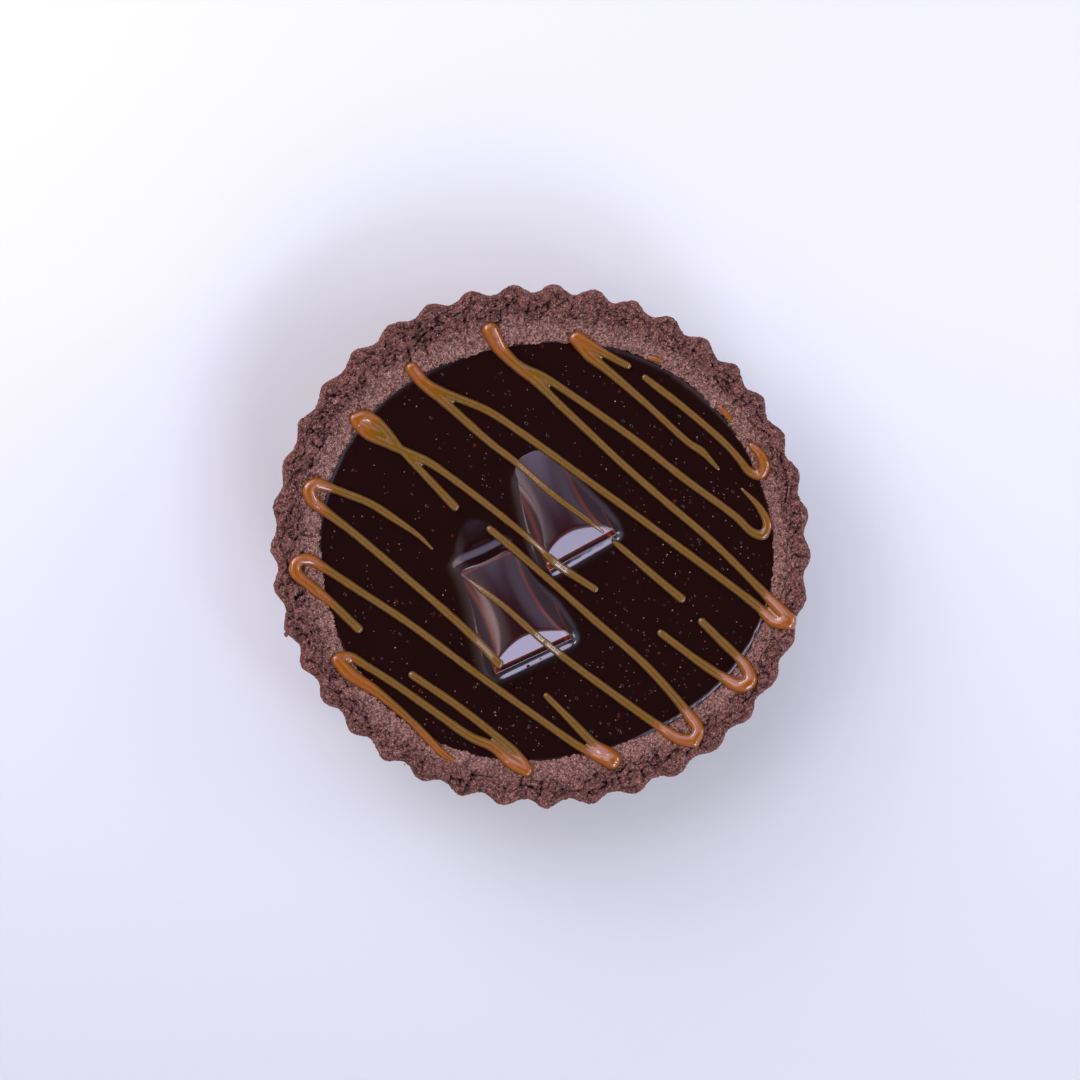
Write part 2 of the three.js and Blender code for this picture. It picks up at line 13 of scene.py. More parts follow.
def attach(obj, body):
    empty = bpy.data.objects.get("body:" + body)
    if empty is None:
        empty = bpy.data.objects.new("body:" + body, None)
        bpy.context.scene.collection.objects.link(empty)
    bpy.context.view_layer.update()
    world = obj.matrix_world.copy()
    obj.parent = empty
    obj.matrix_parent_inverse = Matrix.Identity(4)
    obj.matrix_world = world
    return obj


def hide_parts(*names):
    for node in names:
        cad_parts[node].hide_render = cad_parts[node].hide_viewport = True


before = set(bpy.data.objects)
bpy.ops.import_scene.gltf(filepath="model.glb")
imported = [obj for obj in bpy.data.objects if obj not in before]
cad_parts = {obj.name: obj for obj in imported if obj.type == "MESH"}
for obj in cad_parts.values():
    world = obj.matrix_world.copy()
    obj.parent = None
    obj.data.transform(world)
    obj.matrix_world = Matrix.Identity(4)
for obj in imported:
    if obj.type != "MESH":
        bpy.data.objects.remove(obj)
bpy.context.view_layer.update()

print("nodes:", sorted(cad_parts))

# %% [markdown]
# ## Small tools
# Shapes are worked out in millimetres with numpy, because a baked rim is easiest to
# describe as a height over a grid, and are written to Blender in metres at the end.
# Unevenness comes from a smooth noise: random values on a square lattice, blended in
# between. `around` makes it close on itself after that many cells.

# %% Numbers and noise
MM = 0.001
rng = np.random.default_rng(39)


def lattice(i, j, seed):
    s = np.sin(i * 127.1 + j * 311.7 + seed * 74.7) * 43758.5453
    return 2 * (s - np.floor(s)) - 1


def noise(x, y, seed=0, around=None):
    """Smooth repeatable noise from -1 to 1 over the plane."""
    x, y = np.broadcast_arrays(x, y)
    i, j = np.floor(x), np.floor(y)
    u, v = x - i, y - j
    u, v = u * u * (3 - 2 * u), v * v * (3 - 2 * v)
    i0, i1 = (i, i + 1) if around is None else (i % around, (i + 1) % around)
    low = lattice(i0, j, seed) * (1 - u) + lattice(i1, j, seed) * u
    high = lattice(i0, j + 1, seed) * (1 - u) + lattice(i1, j + 1, seed) * u
    return low * (1 - v) + high * v


def smoothstep(low, high, x):
    t = np.clip((x - low) / (high - low), 0, 1)
    return t * t * (3 - 2 * t)


def soft_max(a, b, blend):
    """The larger of two heights, with the crease between them filled in."""
    near = np.clip(1 - np.abs(a - b) / blend, 0, None)
    return np.maximum(a, b) + blend * near * near / 4


def soft_min(a, b, blend):
    return -soft_max(-a, -b, blend)


# %% Meshes
def add_piece(name, points, faces, material, smooth=True, attributes=None):
    """A mesh object from points in millimetres, with float attributes for its shader."""
    mesh = bpy.data.meshes.new(name)
    mesh.from_pydata((np.asarray(points) * MM).tolist(), [], [list(f) for f in faces])
    mesh.update()
    mesh.polygons.foreach_set("use_smooth", [smooth] * len(mesh.polygons))
    for key, values in (attributes or {}).items():
        attribute = mesh.attributes.new(key, "FLOAT", "POINT")
        attribute.data.foreach_set("value", np.asarray(values, np.float32).ravel())
    mesh.materials.append(material)
    piece = bpy.data.objects.new(name, mesh)
    bpy.context.scene.collection.objects.link(piece)
    triangles = sum(len(p.vertices) - 2 for p in mesh.polygons)
    print(f"{name}: {triangles} triangles")
    return piece


def around_faces(rings, columns):
    """Faces of rings stacked round an axis, closed by a point below and one above."""
    ring = np.arange(rings - 1)[:, None] * columns + 1
    column = np.arange(columns)[None, :]
    after = (column + 1) % columns
    quads = np.stack([ring + column, ring + after, ring + columns + after,
                      ring + columns + column], axis=-1).reshape(-1, 4)
    last = (rings - 1) * columns + 1
    top = rings * columns + 1
    start = [(0, (c + 1) % columns + 1, c + 1) for c in range(columns)]
    end = [(last + c, last + (c + 1) % columns, top) for c in range(columns)]
    return quads.tolist() + start + end


# %% [markdown]
# ## Helpers for the finishes
# Colours are written as sRGB hex, as a paint chart gives them, and turned to the
# linear values that Blender's sockets take. One helper adds any node with its settings
# and links, so each finish below reads as a list of the layers that make it.

# %% Colours and nodes
def linear(colour):
    """An sRGB hex colour as linear RGBA."""
    parts = [int(colour[i:i + 2], 16) / 255 for i in (1, 3, 5)]
    steep = [((c + 0.055) / 1.055) ** 2.4 if c > 0.04045 else c / 12.92 for c in parts]
    return (*steep, 1.0)


def add_node(tree, kind, inputs=None, **settings):
    """A node with its own settings, whose inputs are set to values or linked."""
    node = tree.nodes.new(kind)
    for key, value in settings.items():
        setattr(node, key, value)
    for key, value in (inputs or {}).items():
        if isinstance(value, bpy.types.NodeSocket):
            tree.links.new(value, node.inputs[key])
        else:
            node.inputs[key].default_value = value
    return node


def new_material(name):
    material = bpy.data.materials.new(name)
    material.use_nodes = True
    material.node_tree.nodes.clear()
    return material, material.node_tree


# The sockets of a colour Mix node, which shares its names between several kinds.
FACTOR, FIRST, SECOND, MIXED = 0, 6, 7, 2

# %% [markdown]
# ## Camera, floor and light
# The tart is shown from straight above on a pale table. A long lens from half a metre
# keeps the fluted wall just hidden under the rim. Glossy food is lit by what it
# mirrors, so the room matters more than the lamps: a dark patch right overhead keeps
# the flat ganache black, while a pale horizon and soft glows at about half height draw
# the bright lines on everything that slopes.

# %% Camera
LENS = 85
SENSOR = 36
VIEW_WIDTH = 203  # width of the picture at the height of the rim
VIEW_CENTRE = (-0.47, 0.85)
RIM_LEVEL = 19.5

camera_data = bpy.data.cameras.new("camera")
camera_data.lens = LENS
camera_data.sensor_width = SENSOR
camera_data.clip_start = 0.01
camera = bpy.data.objects.new("camera", camera_data)
camera_height = RIM_LEVEL + VIEW_WIDTH * LENS / SENSOR
camera.location = Vector((*VIEW_CENTRE, camera_height)) * MM
bpy.context.scene.collection.objects.link(camera)
bpy.context.scene.camera = camera
bpy.context.scene.view_settings.view_transform = "Standard"
print(f"camera {camera_height:.0f} mm above the table")

# %% Floor: a matt white board, with painted shade darkening it towards the near side
NEAR_SIDE, FAR_SIDE = -0.10, 0.05  # metres, where the change of tint starts and ends

floor_finish, tree = new_material("matt_white_board")
coordinates = add_node(tree, "ShaderNodeTexCoord")
across = add_node(tree, "ShaderNodeSeparateXYZ", {"Vector": coordinates.outputs["Object"]})
# Painted shade: the board's colour darkens towards the near side, where the light falls off.
near_side_shade = add_node(tree, "ShaderNodeMapRange", {
    "Value": across.outputs["Y"], "From Min": NEAR_SIDE, "From Max": FAR_SIDE})
paper = add_node(tree, "ShaderNodeMix", {
    FACTOR: near_side_shade.outputs["Result"], FIRST: linear("#C9CEC7"), SECOND: linear("#D7DCD3"),
}, data_type="RGBA")
surface = add_node(tree, "ShaderNodeBsdfPrincipled", {
    "Base Color": paper.outputs[MIXED], "Roughness": 0.9, "Specular IOR Level": 0.1})
add_node(tree, "ShaderNodeOutputMaterial", {"Surface": surface.outputs["BSDF"]})

FLOOR_HALF = 1500
corners = [(-FLOOR_HALF, -FLOOR_HALF, 0), (FLOOR_HALF, -FLOOR_HALF, 0),
           (FLOOR_HALF, FLOOR_HALF, 0), (-FLOOR_HALF, FLOOR_HALF, 0)]
floor = add_piece("floor", corners, [(0, 1, 2, 3)], floor_finish, smooth=False)
floor.location.z = -0.05 * MM

# %% [markdown]
# ### The room
# A studio hangs white sheets round the table, and each one shows as a soft patch on
# whatever faces half-way between it and the eye. Lit planes would do, but they would
# shade one another. Here each sheet is a round glow painted on the world, given by its
# direction and by how it fades. The directions were found by trial, by where their
# reflections fall as seen from above, so from low down they show in other places.
# Three soft boxes add light with a direction, which brings out the torn rim's relief.

# %% Room
ROOM_COLOUR = "#DCE2FF"
ROOM_STRENGTH = 0.47
ROOM_OVERHEAD = 0.02
DARK_FROM, DARK_BY = 0.72, 0.975  # sine of the elevation where the room starts and ends darkening
GLOWS = [  # name, azimuth, elevation, degrees it stays full and reaches, radiance, colour
    ("front", -65, 31, 8, 16.5, 11.0, "#DED8FF"),
    ("behind", 112, 40, 8, 37, 2.5, "#DED2FF"),
    ("left", 188, 41, 1.5, 8.5, 5.2, "#FFD6D6"),
    ("corner", 160, 42, 5, 16, 3.6, "#FFE6EC"),
    ("back left", 166, 58, 4, 15, 0.5, "#F0DCEC"),
    ("front left", 205, 56, 5, 24, 0.45, "#FFDCD6"),
    ("near left", 238, 48, 5, 24, 0.4, "#E0DCFF"),
    ("front right", 345, 34, 8, 34, 1.6, "#CED6FF"),
    ("right", 46, 50, 8, 19, 0.75, "#E2D6FF"),
]

world = bpy.data.worlds.new("studio")
world.use_nodes = True
bpy.context.scene.world = world
tree = world.node_tree
tree.nodes.clear()
direction = add_node(tree, "ShaderNodeTexCoord").outputs["Generated"]
axes = add_node(tree, "ShaderNodeSeparateXYZ", {"Vector": direction})
overhead = add_node(tree, "ShaderNodeMapRange", {
    "Value": axes.outputs["Z"], "From Min": DARK_FROM, "From Max": DARK_BY,
    "To Min": ROOM_STRENGTH, "To Max": ROOM_OVERHEAD}, interpolation_type="SMOOTHSTEP")
room = add_node(tree, "ShaderNodeBackground", {
    "Color": linear(ROOM_COLOUR), "Strength": overhead.outputs["Result"]})
lit = room.outputs["Background"]
for name, azimuth, elevation, core, edge, radiance, colour in GLOWS:
    a, e = np.radians(azimuth), np.radians(elevation)
    towards = add_node(tree, "ShaderNodeVectorMath", {
        0: direction, 1: (np.cos(e) * np.cos(a), np.cos(e) * np.sin(a), np.sin(e)),
    }, operation="DOT_PRODUCT", label=name)
    feather = add_node(tree, "ShaderNodeMapRange", {
        "Value": towards.outputs["Value"], "From Min": np.cos(np.radians(edge)),
        "From Max": np.cos(np.radians(core)), "To Max": radiance,
    }, interpolation_type="SMOOTHSTEP")
    glow = add_node(tree, "ShaderNodeBackground", {
        "Color": linear(colour), "Strength": feather.outputs["Result"]})
    both = add_node(tree, "ShaderNodeAddShader", {0: lit, 1: glow.outputs["Background"]})
    lit = both.outputs["Shader"]
add_node(tree, "ShaderNodeOutputWorld", {"Surface": lit})
print(len(GLOWS), "glows")


# %% Soft boxes
def soft_box(name, azimuth, elevation, distance, size, radiance, colour):
    """A rectangular lamp in metres that faces the tart and looks `radiance` bright."""
    lamp = bpy.data.lights.new(name, "AREA")
    lamp.shape = "RECTANGLE"
    lamp.size, lamp.size_y = size
    lamp.energy = radiance * np.pi * size[0] * size[1]
    lamp.color = linear(colour)[:3]
    a, e = np.radians(azimuth), np.radians(elevation)
    place = Vector((np.cos(e) * np.cos(a), np.cos(e) * np.sin(a), np.sin(e))) * distance
    box = bpy.data.objects.new(name, lamp)
    box.location = place
    box.rotation_euler = (-place).to_track_quat("-Z", "Y").to_euler()
    bpy.context.scene.collection.objects.link(box)


soft_box("back_window", 140, 26, 0.48, (0.26, 0.20), 7.0, "#F2EEFA")
soft_box("right_window", 4, 24, 0.50, (0.16, 0.12), 7.5, "#F8F4FF")
soft_box("front_lamp", -35, 42, 0.60, (0.09, 0.06), 24.0, "#FFFAF4")

# %% [markdown]
# ## The outline of the case
# The case was baked in a fluted tin with 39 waves. Shrinkage and handling made it a
# touch oval, and the opening was pressed by hand, so both radii change slowly with the
# angle. These radii and sizes are the same as in the solids.

# %% Radii of the rim
TOP_RADIUS = 49.6
BASE_RADIUS = 44.0
RIM_HEIGHT = 20
LIP_HEIGHT = 18.7
HEEL = 0.8
FLUTES = 39
FLUTE_DEPTH = 0.72
BASE_THICKNESS = 4
GANACHE_LEVEL = 17.9
GAP = 0.3


def outer_radius(angle):
    return (TOP_RADIUS
            + 0.44 * np.cos(angle + np.radians(143))
            + 0.96 * np.cos(2 * (angle + np.radians(13)))
            - 0.16 * np.cos(4 * angle))


def inner_radius(angle):
    return (41.2
            + 1.39 * np.cos(angle + np.radians(65))
            + 1.72 * np.cos(2 * (angle - np.radians(5.5)))
            + 0.3 * np.cos(3 * angle)
            + 0.45 * np.cos(4 * (angle + np.radians(27.6))))


def creep(angle):
    """How far shrinkage moved each crest from its even place."""
    return np.radians(4.87
                      + 1.09 * np.cos(angle - np.radians(29.8))
                      + 1.34 * np.cos(2 * (angle + np.radians(22.5)))
                      + 0.23 * np.cos(3 * (angle - np.radians(49.5))))


def flute_depth(angle):
    return FLUTE_DEPTH + 0.13 * np.cos(2 * (angle - np.radians(70)))


def rim_height(angle, share):
    """Top of the rim, from 0 at its outer edge to 1 at the opening."""
    crest = 0.25
    lip_drop = (RIM_HEIGHT - LIP_HEIGHT) * np.clip(1 - share / crest, 0, None) ** 2
    slope = np.clip((share - crest) / (1 - crest), 0, None)
    inner_drop = (RIM_HEIGHT - GANACHE_LEVEL - 0.2) * slope ** 1.5
    swell = 0.2 * noise(angle / (2 * np.pi) * 20, 0.5, seed=0, around=20)
    return RIM_HEIGHT - lip_drop - inner_drop + swell


every_degree = np.radians(np.arange(360))
print(f"rim {2 * outer_radius(every_degree).mean():.1f} mm across,",
      f"opening {2 * inner_radius(every_degree).mean():.1f} mm")

# %% [markdown]
# ## Cocoa shortcrust case
# Shortcrust is short because its fat keeps flour from binding, so its free edge tears
# while it bakes: the outer half of the rim is full of small clefts that run round it,
# and the inner half, pressed by a thumb, is finer. A subdivided and sculpted cylinder
# would do, but a grid of rings gives each ring a known distance from the edge, and the
# tears can then be worked out along the rim. Every point is pushed along its normal.

# %% Rings of the case
COLUMNS = FLUTES * 32
RIM_RINGS = 54
WALL_RINGS = 18

column = np.arange(COLUMNS) / COLUMNS * 2 * np.pi
angle = column + creep(column)
swing = flute_depth(angle) * np.cos(FLUTES * column)
outer = outer_radius(angle)
inner = inner_radius(angle)


def ring(radius, z):
    return np.stack([radius * np.cos(angle), radius * np.sin(angle),
                     np.broadcast_to(z, angle.shape)], axis=-1)


def wall_ring(z):
    share = (z - HEEL) / (LIP_HEIGHT - HEEL)
    radius = BASE_RADIUS + (outer - BASE_RADIUS) * share
    flute = swing * (0.75 + 0.25 * share)
    return ring(radius + flute, z)


def rim_ring(share):
    """One ring of the rim, whose inner edge is ragged where dough broke off."""
    flute = swing * (1 - share) ** 3
    broken = 0.24 * noise(angle / (2 * np.pi) * 170, 0.5, 91, around=170)
    broken = (broken + 0.16 * noise(angle / (2 * np.pi) * 430, 0.5, 92, around=430)) * share ** 4
    return ring(outer + (inner - outer) * share + flute - broken, rim_height(angle, share))


foot = wall_ring(HEEL) * (1 - HEEL / BASE_RADIUS)
foot[:, 2] = 0
underside = [foot * [s, s, 1] for s in (0.35, 0.7, 0.9, 1.0)]
walls = [wall_ring(z) for z in np.linspace(HEEL, LIP_HEIGHT, WALL_RINGS)[:-1]]
shares = np.linspace(0, 1, RIM_RINGS)
rims = [rim_ring(s) for s in shares]
inside = [ring(inner - 0.1, 16.5), ring(inner - 1.5, 8), ring(inner - 4, BASE_THICKNESS)]
case = np.array(underside + walls + rims + inside)
first_wall = len(underside)
first_rim = first_wall + len(walls)
first_inside = first_rim + len(rims)
print("case rings:", len(case), "columns:", COLUMNS)

# %% [markdown]
# ### Clods, tears and cracks
# Shortcrust breaks between its clods, not through them. The clods are cells grown from
# scattered points, each at its own height with a crevice round it, in three sizes. The
# tears are long thin lines where a stretched noise crosses zero, with a raised lip on
# one side and a notch on the other, kept only in patches, and they slant with the rim.
# What is left below its surroundings is kept as `cavity`, and the finish makes it
# darker, since little light gets into a cleft that is narrower than the grid.

# %% Clods and noise round the rim
AROUND = 2 * np.pi * TOP_RADIUS


def cells(size):
    """Whole number of cells of about `size` millimetres round the rim."""
    return int(round(AROUND / size))


def around_noise(size, across, across_size, seed):
    """Noise with cells of `size` round the rim and `across_size` over it."""
    n = cells(size)
    return noise(angle[None, :] / (2 * np.pi) * n, across / across_size, seed, around=n)


def clods(size, across, seed):
    """Rounded lumps about `size` wide, in parts of their size, and their crevices."""
    n = cells(size)
    x, y = np.broadcast_arrays(angle[None, :] / (2 * np.pi) * n, across / size)
    i, j = np.floor(x), np.floor(y)
    nearest = np.full(x.shape, 9.0)
    second = nearest.copy()
    level = np.zeros(x.shape)
    for di in (-1, 0, 1):
        for dj in (-1, 0, 1):
            ci, cj = (i + di) % n, j + dj
            px = i + di + 0.5 + 0.42 * lattice(ci, cj, seed)
            py = cj + 0.5 + 0.42 * lattice(ci, cj, seed + 9)
            d = np.hypot(x - px, y - py)
            closer = d < nearest
            second = np.where(closer, nearest, np.minimum(second, d))
            level = np.where(closer, lattice(ci, cj, seed + 17), level)
            nearest = np.minimum(nearest, d)
    crevice = 1 - smoothstep(0.0, 0.3, second - nearest)
    return 0.15 * level + 0.14 * (0.5 - nearest) - 0.07 * crevice


# %% Tears along the rim
TEARS = [  # seed, length, thickness and depth of each kind
    (21, 4.5, 1.3, 0.6),
    (22, 2.6, 0.8, 0.55),
    (23, 1.7, 0.5, 0.4),
]

share = shares[:, None]
across = share * (outer - inner)[None, :]
slant = 8 * np.sin(2 * (angle - np.pi / 2)) + 8 * np.sin(angle - np.pi / 2)
bend = 1.1 * around_noise(6.0, across, 3.0, 11) + 0.45 * around_noise(1.7, across, 1.3, 12)
tears = np.zeros_like(across)
for seed, size, thin, depth in TEARS:
    line = around_noise(size, across + bend - slant[None, :], thin, seed)
    patch = smoothstep(-0.2, 0.3, around_noise(3.4, across, 1.7, seed + 5))
    notch = np.where(line < 0, -np.exp(line / 0.2), 0.4 * np.exp(-line / 0.4))
    tears += depth * patch * notch
tears *= smoothstep(0.05, 0.18, share) * (1 - smoothstep(0.5, 0.8, share))
print(f"tears up to {-tears.min():.2f} mm deep")

# %% Clods of three sizes, finer towards the opening
LUMP = 2.3
CLOD = 1.0
GRIT = 0.5

coarse = 1 - 0.6 * smoothstep(0.45, 0.8, share)
swells = 0.25 * around_noise(3.1, across, 2.2, 34) * coarse * smoothstep(0, 0.1, share)
grains = LUMP * clods(LUMP, across + bend, 30) * coarse
grains += CLOD * clods(CLOD, across, 31) * coarse + 1.7 * GRIT * clods(GRIT, across, 32)
grains *= 0.3 + 0.7 * smoothstep(0.0, 0.09, share)  # the tin held the very edge
print(f"clods from {grains.min():.2f} to {grains.max():.2f} mm")

# %% Cracks across the rim
CRACKS = [  # angle and share where each begins and ends, and its depth
    (114.6, 0.22, 116.6, 0.62, 0.55),
    (118.9, 0.12, 121.0, 0.75, 0.75),
    (122.3, 0.10, 127.4, 0.97, 0.7),
]

cracked = np.zeros_like(across)
for from_angle, from_share, to_angle, to_share, depth in CRACKS:
    t = np.clip((share - from_share) / (to_share - from_share), 0, 1)
    middle = np.radians(from_angle + (to_angle - from_angle) * t)
    middle = middle + np.radians(0.35) * noise(across / 0.9, 0.5, int(from_angle))
    off = (angle[None, :] - middle) * TOP_RADIUS
    inside_ends = (smoothstep(from_share - 0.08, from_share + 0.05, share)
                   * (1 - smoothstep(to_share - 0.1, to_share + 0.04, share)))
    cut = -np.exp(-(off / 0.32) ** 2) + 0.55 * np.exp(-((off + 1.0) / 0.6) ** 2)
    ragged = 0.75 + 0.35 * around_noise(0.8, across, 0.9, int(to_angle))
    cracked += depth * inside_ends * cut * ragged
rim_relief = swells + grains + tears + cracked
print(f"cracks up to {-cracked.min():.2f} mm deep")

# %% Relief of the wall, and cavities
height = np.linspace(HEEL, LIP_HEIGHT, WALL_RINGS)[:-1][:, None]
wall_relief = (0.10 * around_noise(2.6, height, 1.9, 51)
               + 0.35 * CLOD * clods(CLOD, height, 52)
               - 0.35 * smoothstep(0.55, 0.85, around_noise(1.6, height, 1.1, 53)))

relief = np.zeros(case.shape[:2])
relief[first_wall:first_rim] = wall_relief
relief[first_rim:first_inside] = rim_relief

along = np.roll(case, -1, axis=1) - np.roll(case, 1, axis=1)
up = np.gradient(case, axis=0)
normal = np.cross(along, up)
normal /= np.linalg.norm(normal, axis=-1, keepdims=True) + 1e-9
case_points = case + normal * relief[..., None]


def blurred(field, width):
    """A field smoothed over its rings and round its columns."""
    kernel = np.ones(width) / width
    padded = np.pad(field, ((width // 2, width // 2), (0, 0)), mode="edge")
    over = sum(padded[k:k + len(field)] for k in range(width)) * kernel[0]
    return sum(np.roll(over, k - width // 2, axis=1) for k in range(width)) * kernel[0]


cavity = np.clip((blurred(relief, 9) - relief - 0.05) / 0.5, 0, 1)
fineness = np.zeros_like(relief)
fineness[first_rim:first_inside] = smoothstep(0.4, 0.75, share) + 0 * across
# The very edge of the rim, which the finish tints redder as painted light.
grazing_edge_band = np.zeros_like(relief)
grazing_edge_band[first_rim:first_inside] = 1 - smoothstep(0.0, 0.07, share) + 0 * across
grazing_edge_band[first_rim - 2:first_rim] = 1
print(f"relief from {relief.min():.2f} to {relief.max():.2f} mm")

# %% [markdown]
# ### Finish: cocoa shortcrust, baked and broken
# The dough is a dry mix of flour, cocoa and sugar grains, so it scatters light and has
# almost no shine. Grains of 0.3 to 0.6 mm show on every surface, with painted shade
# between them. A few are pale grains of flour or sugar, and their paleness also stands
# in for painted glints of sugar crystals. The pressed inner slope is a little paler than
# the torn edge, and the very edge is painted redder, for how light catches the lip at a
# grazing angle.

# %% Cocoa shortcrust
GRAIN = 0.00042  # metres, one clump of dough
SPECK = 0.00038  # metres, one pale grain
PATCH = 0.012  # metres, uneven baking

shortcrust, tree = new_material("baked_cocoa_shortcrust")
place = add_node(tree, "ShaderNodeTexCoord").outputs["Object"]
patches = add_node(tree, "ShaderNodeTexNoise", {
    "Vector": place, "Scale": 1 / PATCH, "Detail": 3.0, "Roughness": 0.6})
grain = add_node(tree, "ShaderNodeTexNoise", {
    "Vector": place, "Scale": 1 / GRAIN, "Detail": 3.0, "Roughness": 0.65})
crumbs = add_node(tree, "ShaderNodeTexVoronoi", {"Vector": place, "Scale": 1 / SPECK})
hollow = add_node(tree, "ShaderNodeAttribute", attribute_name="cavity")
pressed = add_node(tree, "ShaderNodeAttribute", attribute_name="fineness")
rim_edge = add_node(tree, "ShaderNodeAttribute", attribute_name="grazing_edge_band")

baked = add_node(tree, "ShaderNodeMix", {
    FACTOR: patches.outputs["Fac"], FIRST: linear("#925E4E"), SECOND: linear("#AF7967"),
}, data_type="RGBA")
# The pressed inner slope is made paler.
paler_inside = add_node(tree, "ShaderNodeMath", {
    0: pressed.outputs["Fac"], 1: 0.55}, operation="MULTIPLY")
inner_slope = add_node(tree, "ShaderNodeMix", {
    FACTOR: paler_inside.outputs["Value"], FIRST: baked.outputs[MIXED],
    SECOND: linear("#D0A58E")}, data_type="RGBA")
chance = add_node(tree, "ShaderNodeSeparateColor", {"Color": crumbs.outputs["Color"]})
tone = add_node(tree, "ShaderNodeMapRange", {
    "Value": chance.outputs["Green"], "From Max": 0.8})
crumb_colour = add_node(tree, "ShaderNodeMix", {
    FACTOR: tone.outputs["Result"], FIRST: linear("#643E35"),
    SECOND: inner_slope.outputs[MIXED]}, data_type="RGBA")
# Painted shade: the colour darkens where the grain noise, which also bumps the surface, is low, in
# the hollows between the clumps.
grainy = add_node(tree, "ShaderNodeMapRange", {
    "Value": grain.outputs["Fac"], "From Min": 0.33, "From Max": 0.56})
between = add_node(tree, "ShaderNodeMix", {
    FACTOR: pressed.outputs["Fac"], FIRST: linear("#4A2B26"), SECOND: linear("#6E483C"),
}, data_type="RGBA")
clumps = add_node(tree, "ShaderNodeMix", {
    FACTOR: grainy.outputs["Result"], FIRST: between.outputs[MIXED],
    SECOND: crumb_colour.outputs[MIXED]}, data_type="RGBA")

# %% Its painted edge tint, pale specks and glints, painted shade in the clefts, and grain
# Painted tint: the very edge is made redder, for how light catches the lip at a grazing angle.
painted_edge_tint = add_node(tree, "ShaderNodeMath", {
    0: rim_edge.outputs["Fac"], 1: patches.outputs["Fac"]}, operation="MULTIPLY")
edged = add_node(tree, "ShaderNodeMix", {
    FACTOR: painted_edge_tint.outputs["Value"], FIRST: clumps.outputs[MIXED],
    SECOND: linear("#7C4A3A")}, data_type="RGBA")
# Pale specks: pale grains of flour and sugar, and their paleness is partly painted glints of sugar
# crystals.
pale = add_node(tree, "ShaderNodeMapRange", {
    "Value": crumbs.outputs["Distance"], "From Min": 0.45, "From Max": 0.15})
chosen = add_node(tree, "ShaderNodeMath", {
    0: chance.outputs["Red"], 1: 0.8}, operation="GREATER_THAN")
specks = add_node(tree, "ShaderNodeMath", {
    0: pale.outputs["Result"], 1: chosen.outputs["Value"]}, operation="MULTIPLY")
speckled = add_node(tree, "ShaderNodeMix", {
    FACTOR: specks.outputs["Value"], FIRST: edged.outputs[MIXED],
    SECOND: linear("#CDA592")}, data_type="RGBA")
shaded = add_node(tree, "ShaderNodeMix", {
    FACTOR: hollow.outputs["Fac"], FIRST: speckled.outputs[MIXED],
    SECOND: linear("#180B0B")}, data_type="RGBA")
fine = add_node(tree, "ShaderNodeBump", {
    "Height": grain.outputs["Fac"], "Strength": 1.0, "Distance": 0.00045})
lumpy = add_node(tree, "ShaderNodeBump", {
    "Height": crumbs.outputs["Distance"], "Normal": fine.outputs["Normal"],
    "Strength": 1.0, "Distance": 0.0004}, invert=True)
surface = add_node(tree, "ShaderNodeBsdfPrincipled", {
    "Base Color": shaded.outputs[MIXED], "Roughness": 0.82, "IOR": 1.45,
    "Specular IOR Level": 0.3, "Normal": lumpy.outputs["Normal"]})
add_node(tree, "ShaderNodeOutputMaterial", {"Surface": surface.outputs["BSDF"]})
print(shortcrust.name, len(tree.nodes), "nodes")

# %% The case
points = np.vstack([[[0, 0, 0]], case_points.reshape(-1, 3), [[0, 0, BASE_THICKNESS]]])


def with_poles(field):
    return np.concatenate([[0], field.ravel(), [0]])


crust = add_piece(
    "crust_baked", points, around_faces(len(case), COLUMNS), shortcrust,
    attributes={"cavity": with_poles(cavity), "fineness": with_poles(fineness),
                "grazing_edge_band": with_poles(grazing_edge_band)})
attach(crust, "root")
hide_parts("crust")

# %% [markdown]
# ## The chocolate pieces as heights
# Both pieces were broken from one moulded bar. A segment has a barrel-shaped face,
# bevels on all sides and a skirt that flares below the shoulder. Each piece lies at a
# slant, its front end lifted clear of the ganache and its back end sunk in it. The
# ganache and the caramel both need to know how high the pieces stand, so their shape
# comes before the mesh that shows them.

# %% Shape of a moulded segment
BAR_CROWN = 2.7
BAR_EDGE = 1.7
FRONT_BEVEL = 3.9
BACK_BEVEL = 1.6
FOOT_DROP = 1.8
FOOT_OUTSET = 0.3
LEDGE_FALL = 0.05
GROOVE_DEPTH = 1.9
GROOVE_HALF = 1.7
SECOND_DROP = 0.45  # the strip sagged a little beyond its groove
SAG = 0.005  # the face is slightly barrel-shaped along its length too
ROUNDING = 0.3  # the mould's edges are not quite sharp
LEFT_ROUNDING = 0.65  # the left ridge is rounder than the right one
RIGHT_ROUNDING = 0.12
FRONT_PIECE = {
    "x": -7.7, "y": -5.7, "z": GANACHE_LEVEL - 0.55,
    "heading": np.radians(-155.3), "tilt": np.radians(8), "roll": 0.02,
    "left": 8.8, "left_ridge": (5.6, 0.018, 6.0),
    "right": 7.0, "right_ridge": (3.4, 0.0165, 3.3),
    "back": -15.75, "groove": -4.6, "middle": 4.7, "front": 15.75, "ledge": 0.9,
    "snap": ((6.7, -16.6), (-9.7, 9.5)),
}
BACK_PIECE = {
    "x": 3, "y": 7.5, "z": GANACHE_LEVEL - 0.05,
    "heading": np.radians(-151.5), "tilt": np.radians(9.5), "roll": 0.03,
    "left": 7.5, "left_ridge": (5.1, 0.016, -3.0),
    "right": 7.0, "right_ridge": (3.8, 0.02, 0.5),
    "back": -12.3, "groove": None, "middle": 0.5, "front": 9.25, "ledge": 1.0,
    "snap": None,
}
SECOND_MIDDLE = -10.0


def ridges(piece, v):
    """Half-widths of the face, which is waisted: its long edges curve in."""
    sides = []
    for side in ("left", "right"):
        waist, flare, centre = piece[side + "_ridge"]
        sides.append(np.minimum(waist + flare * (v - centre) ** 2, piece[side] - 1.2))
    return sides


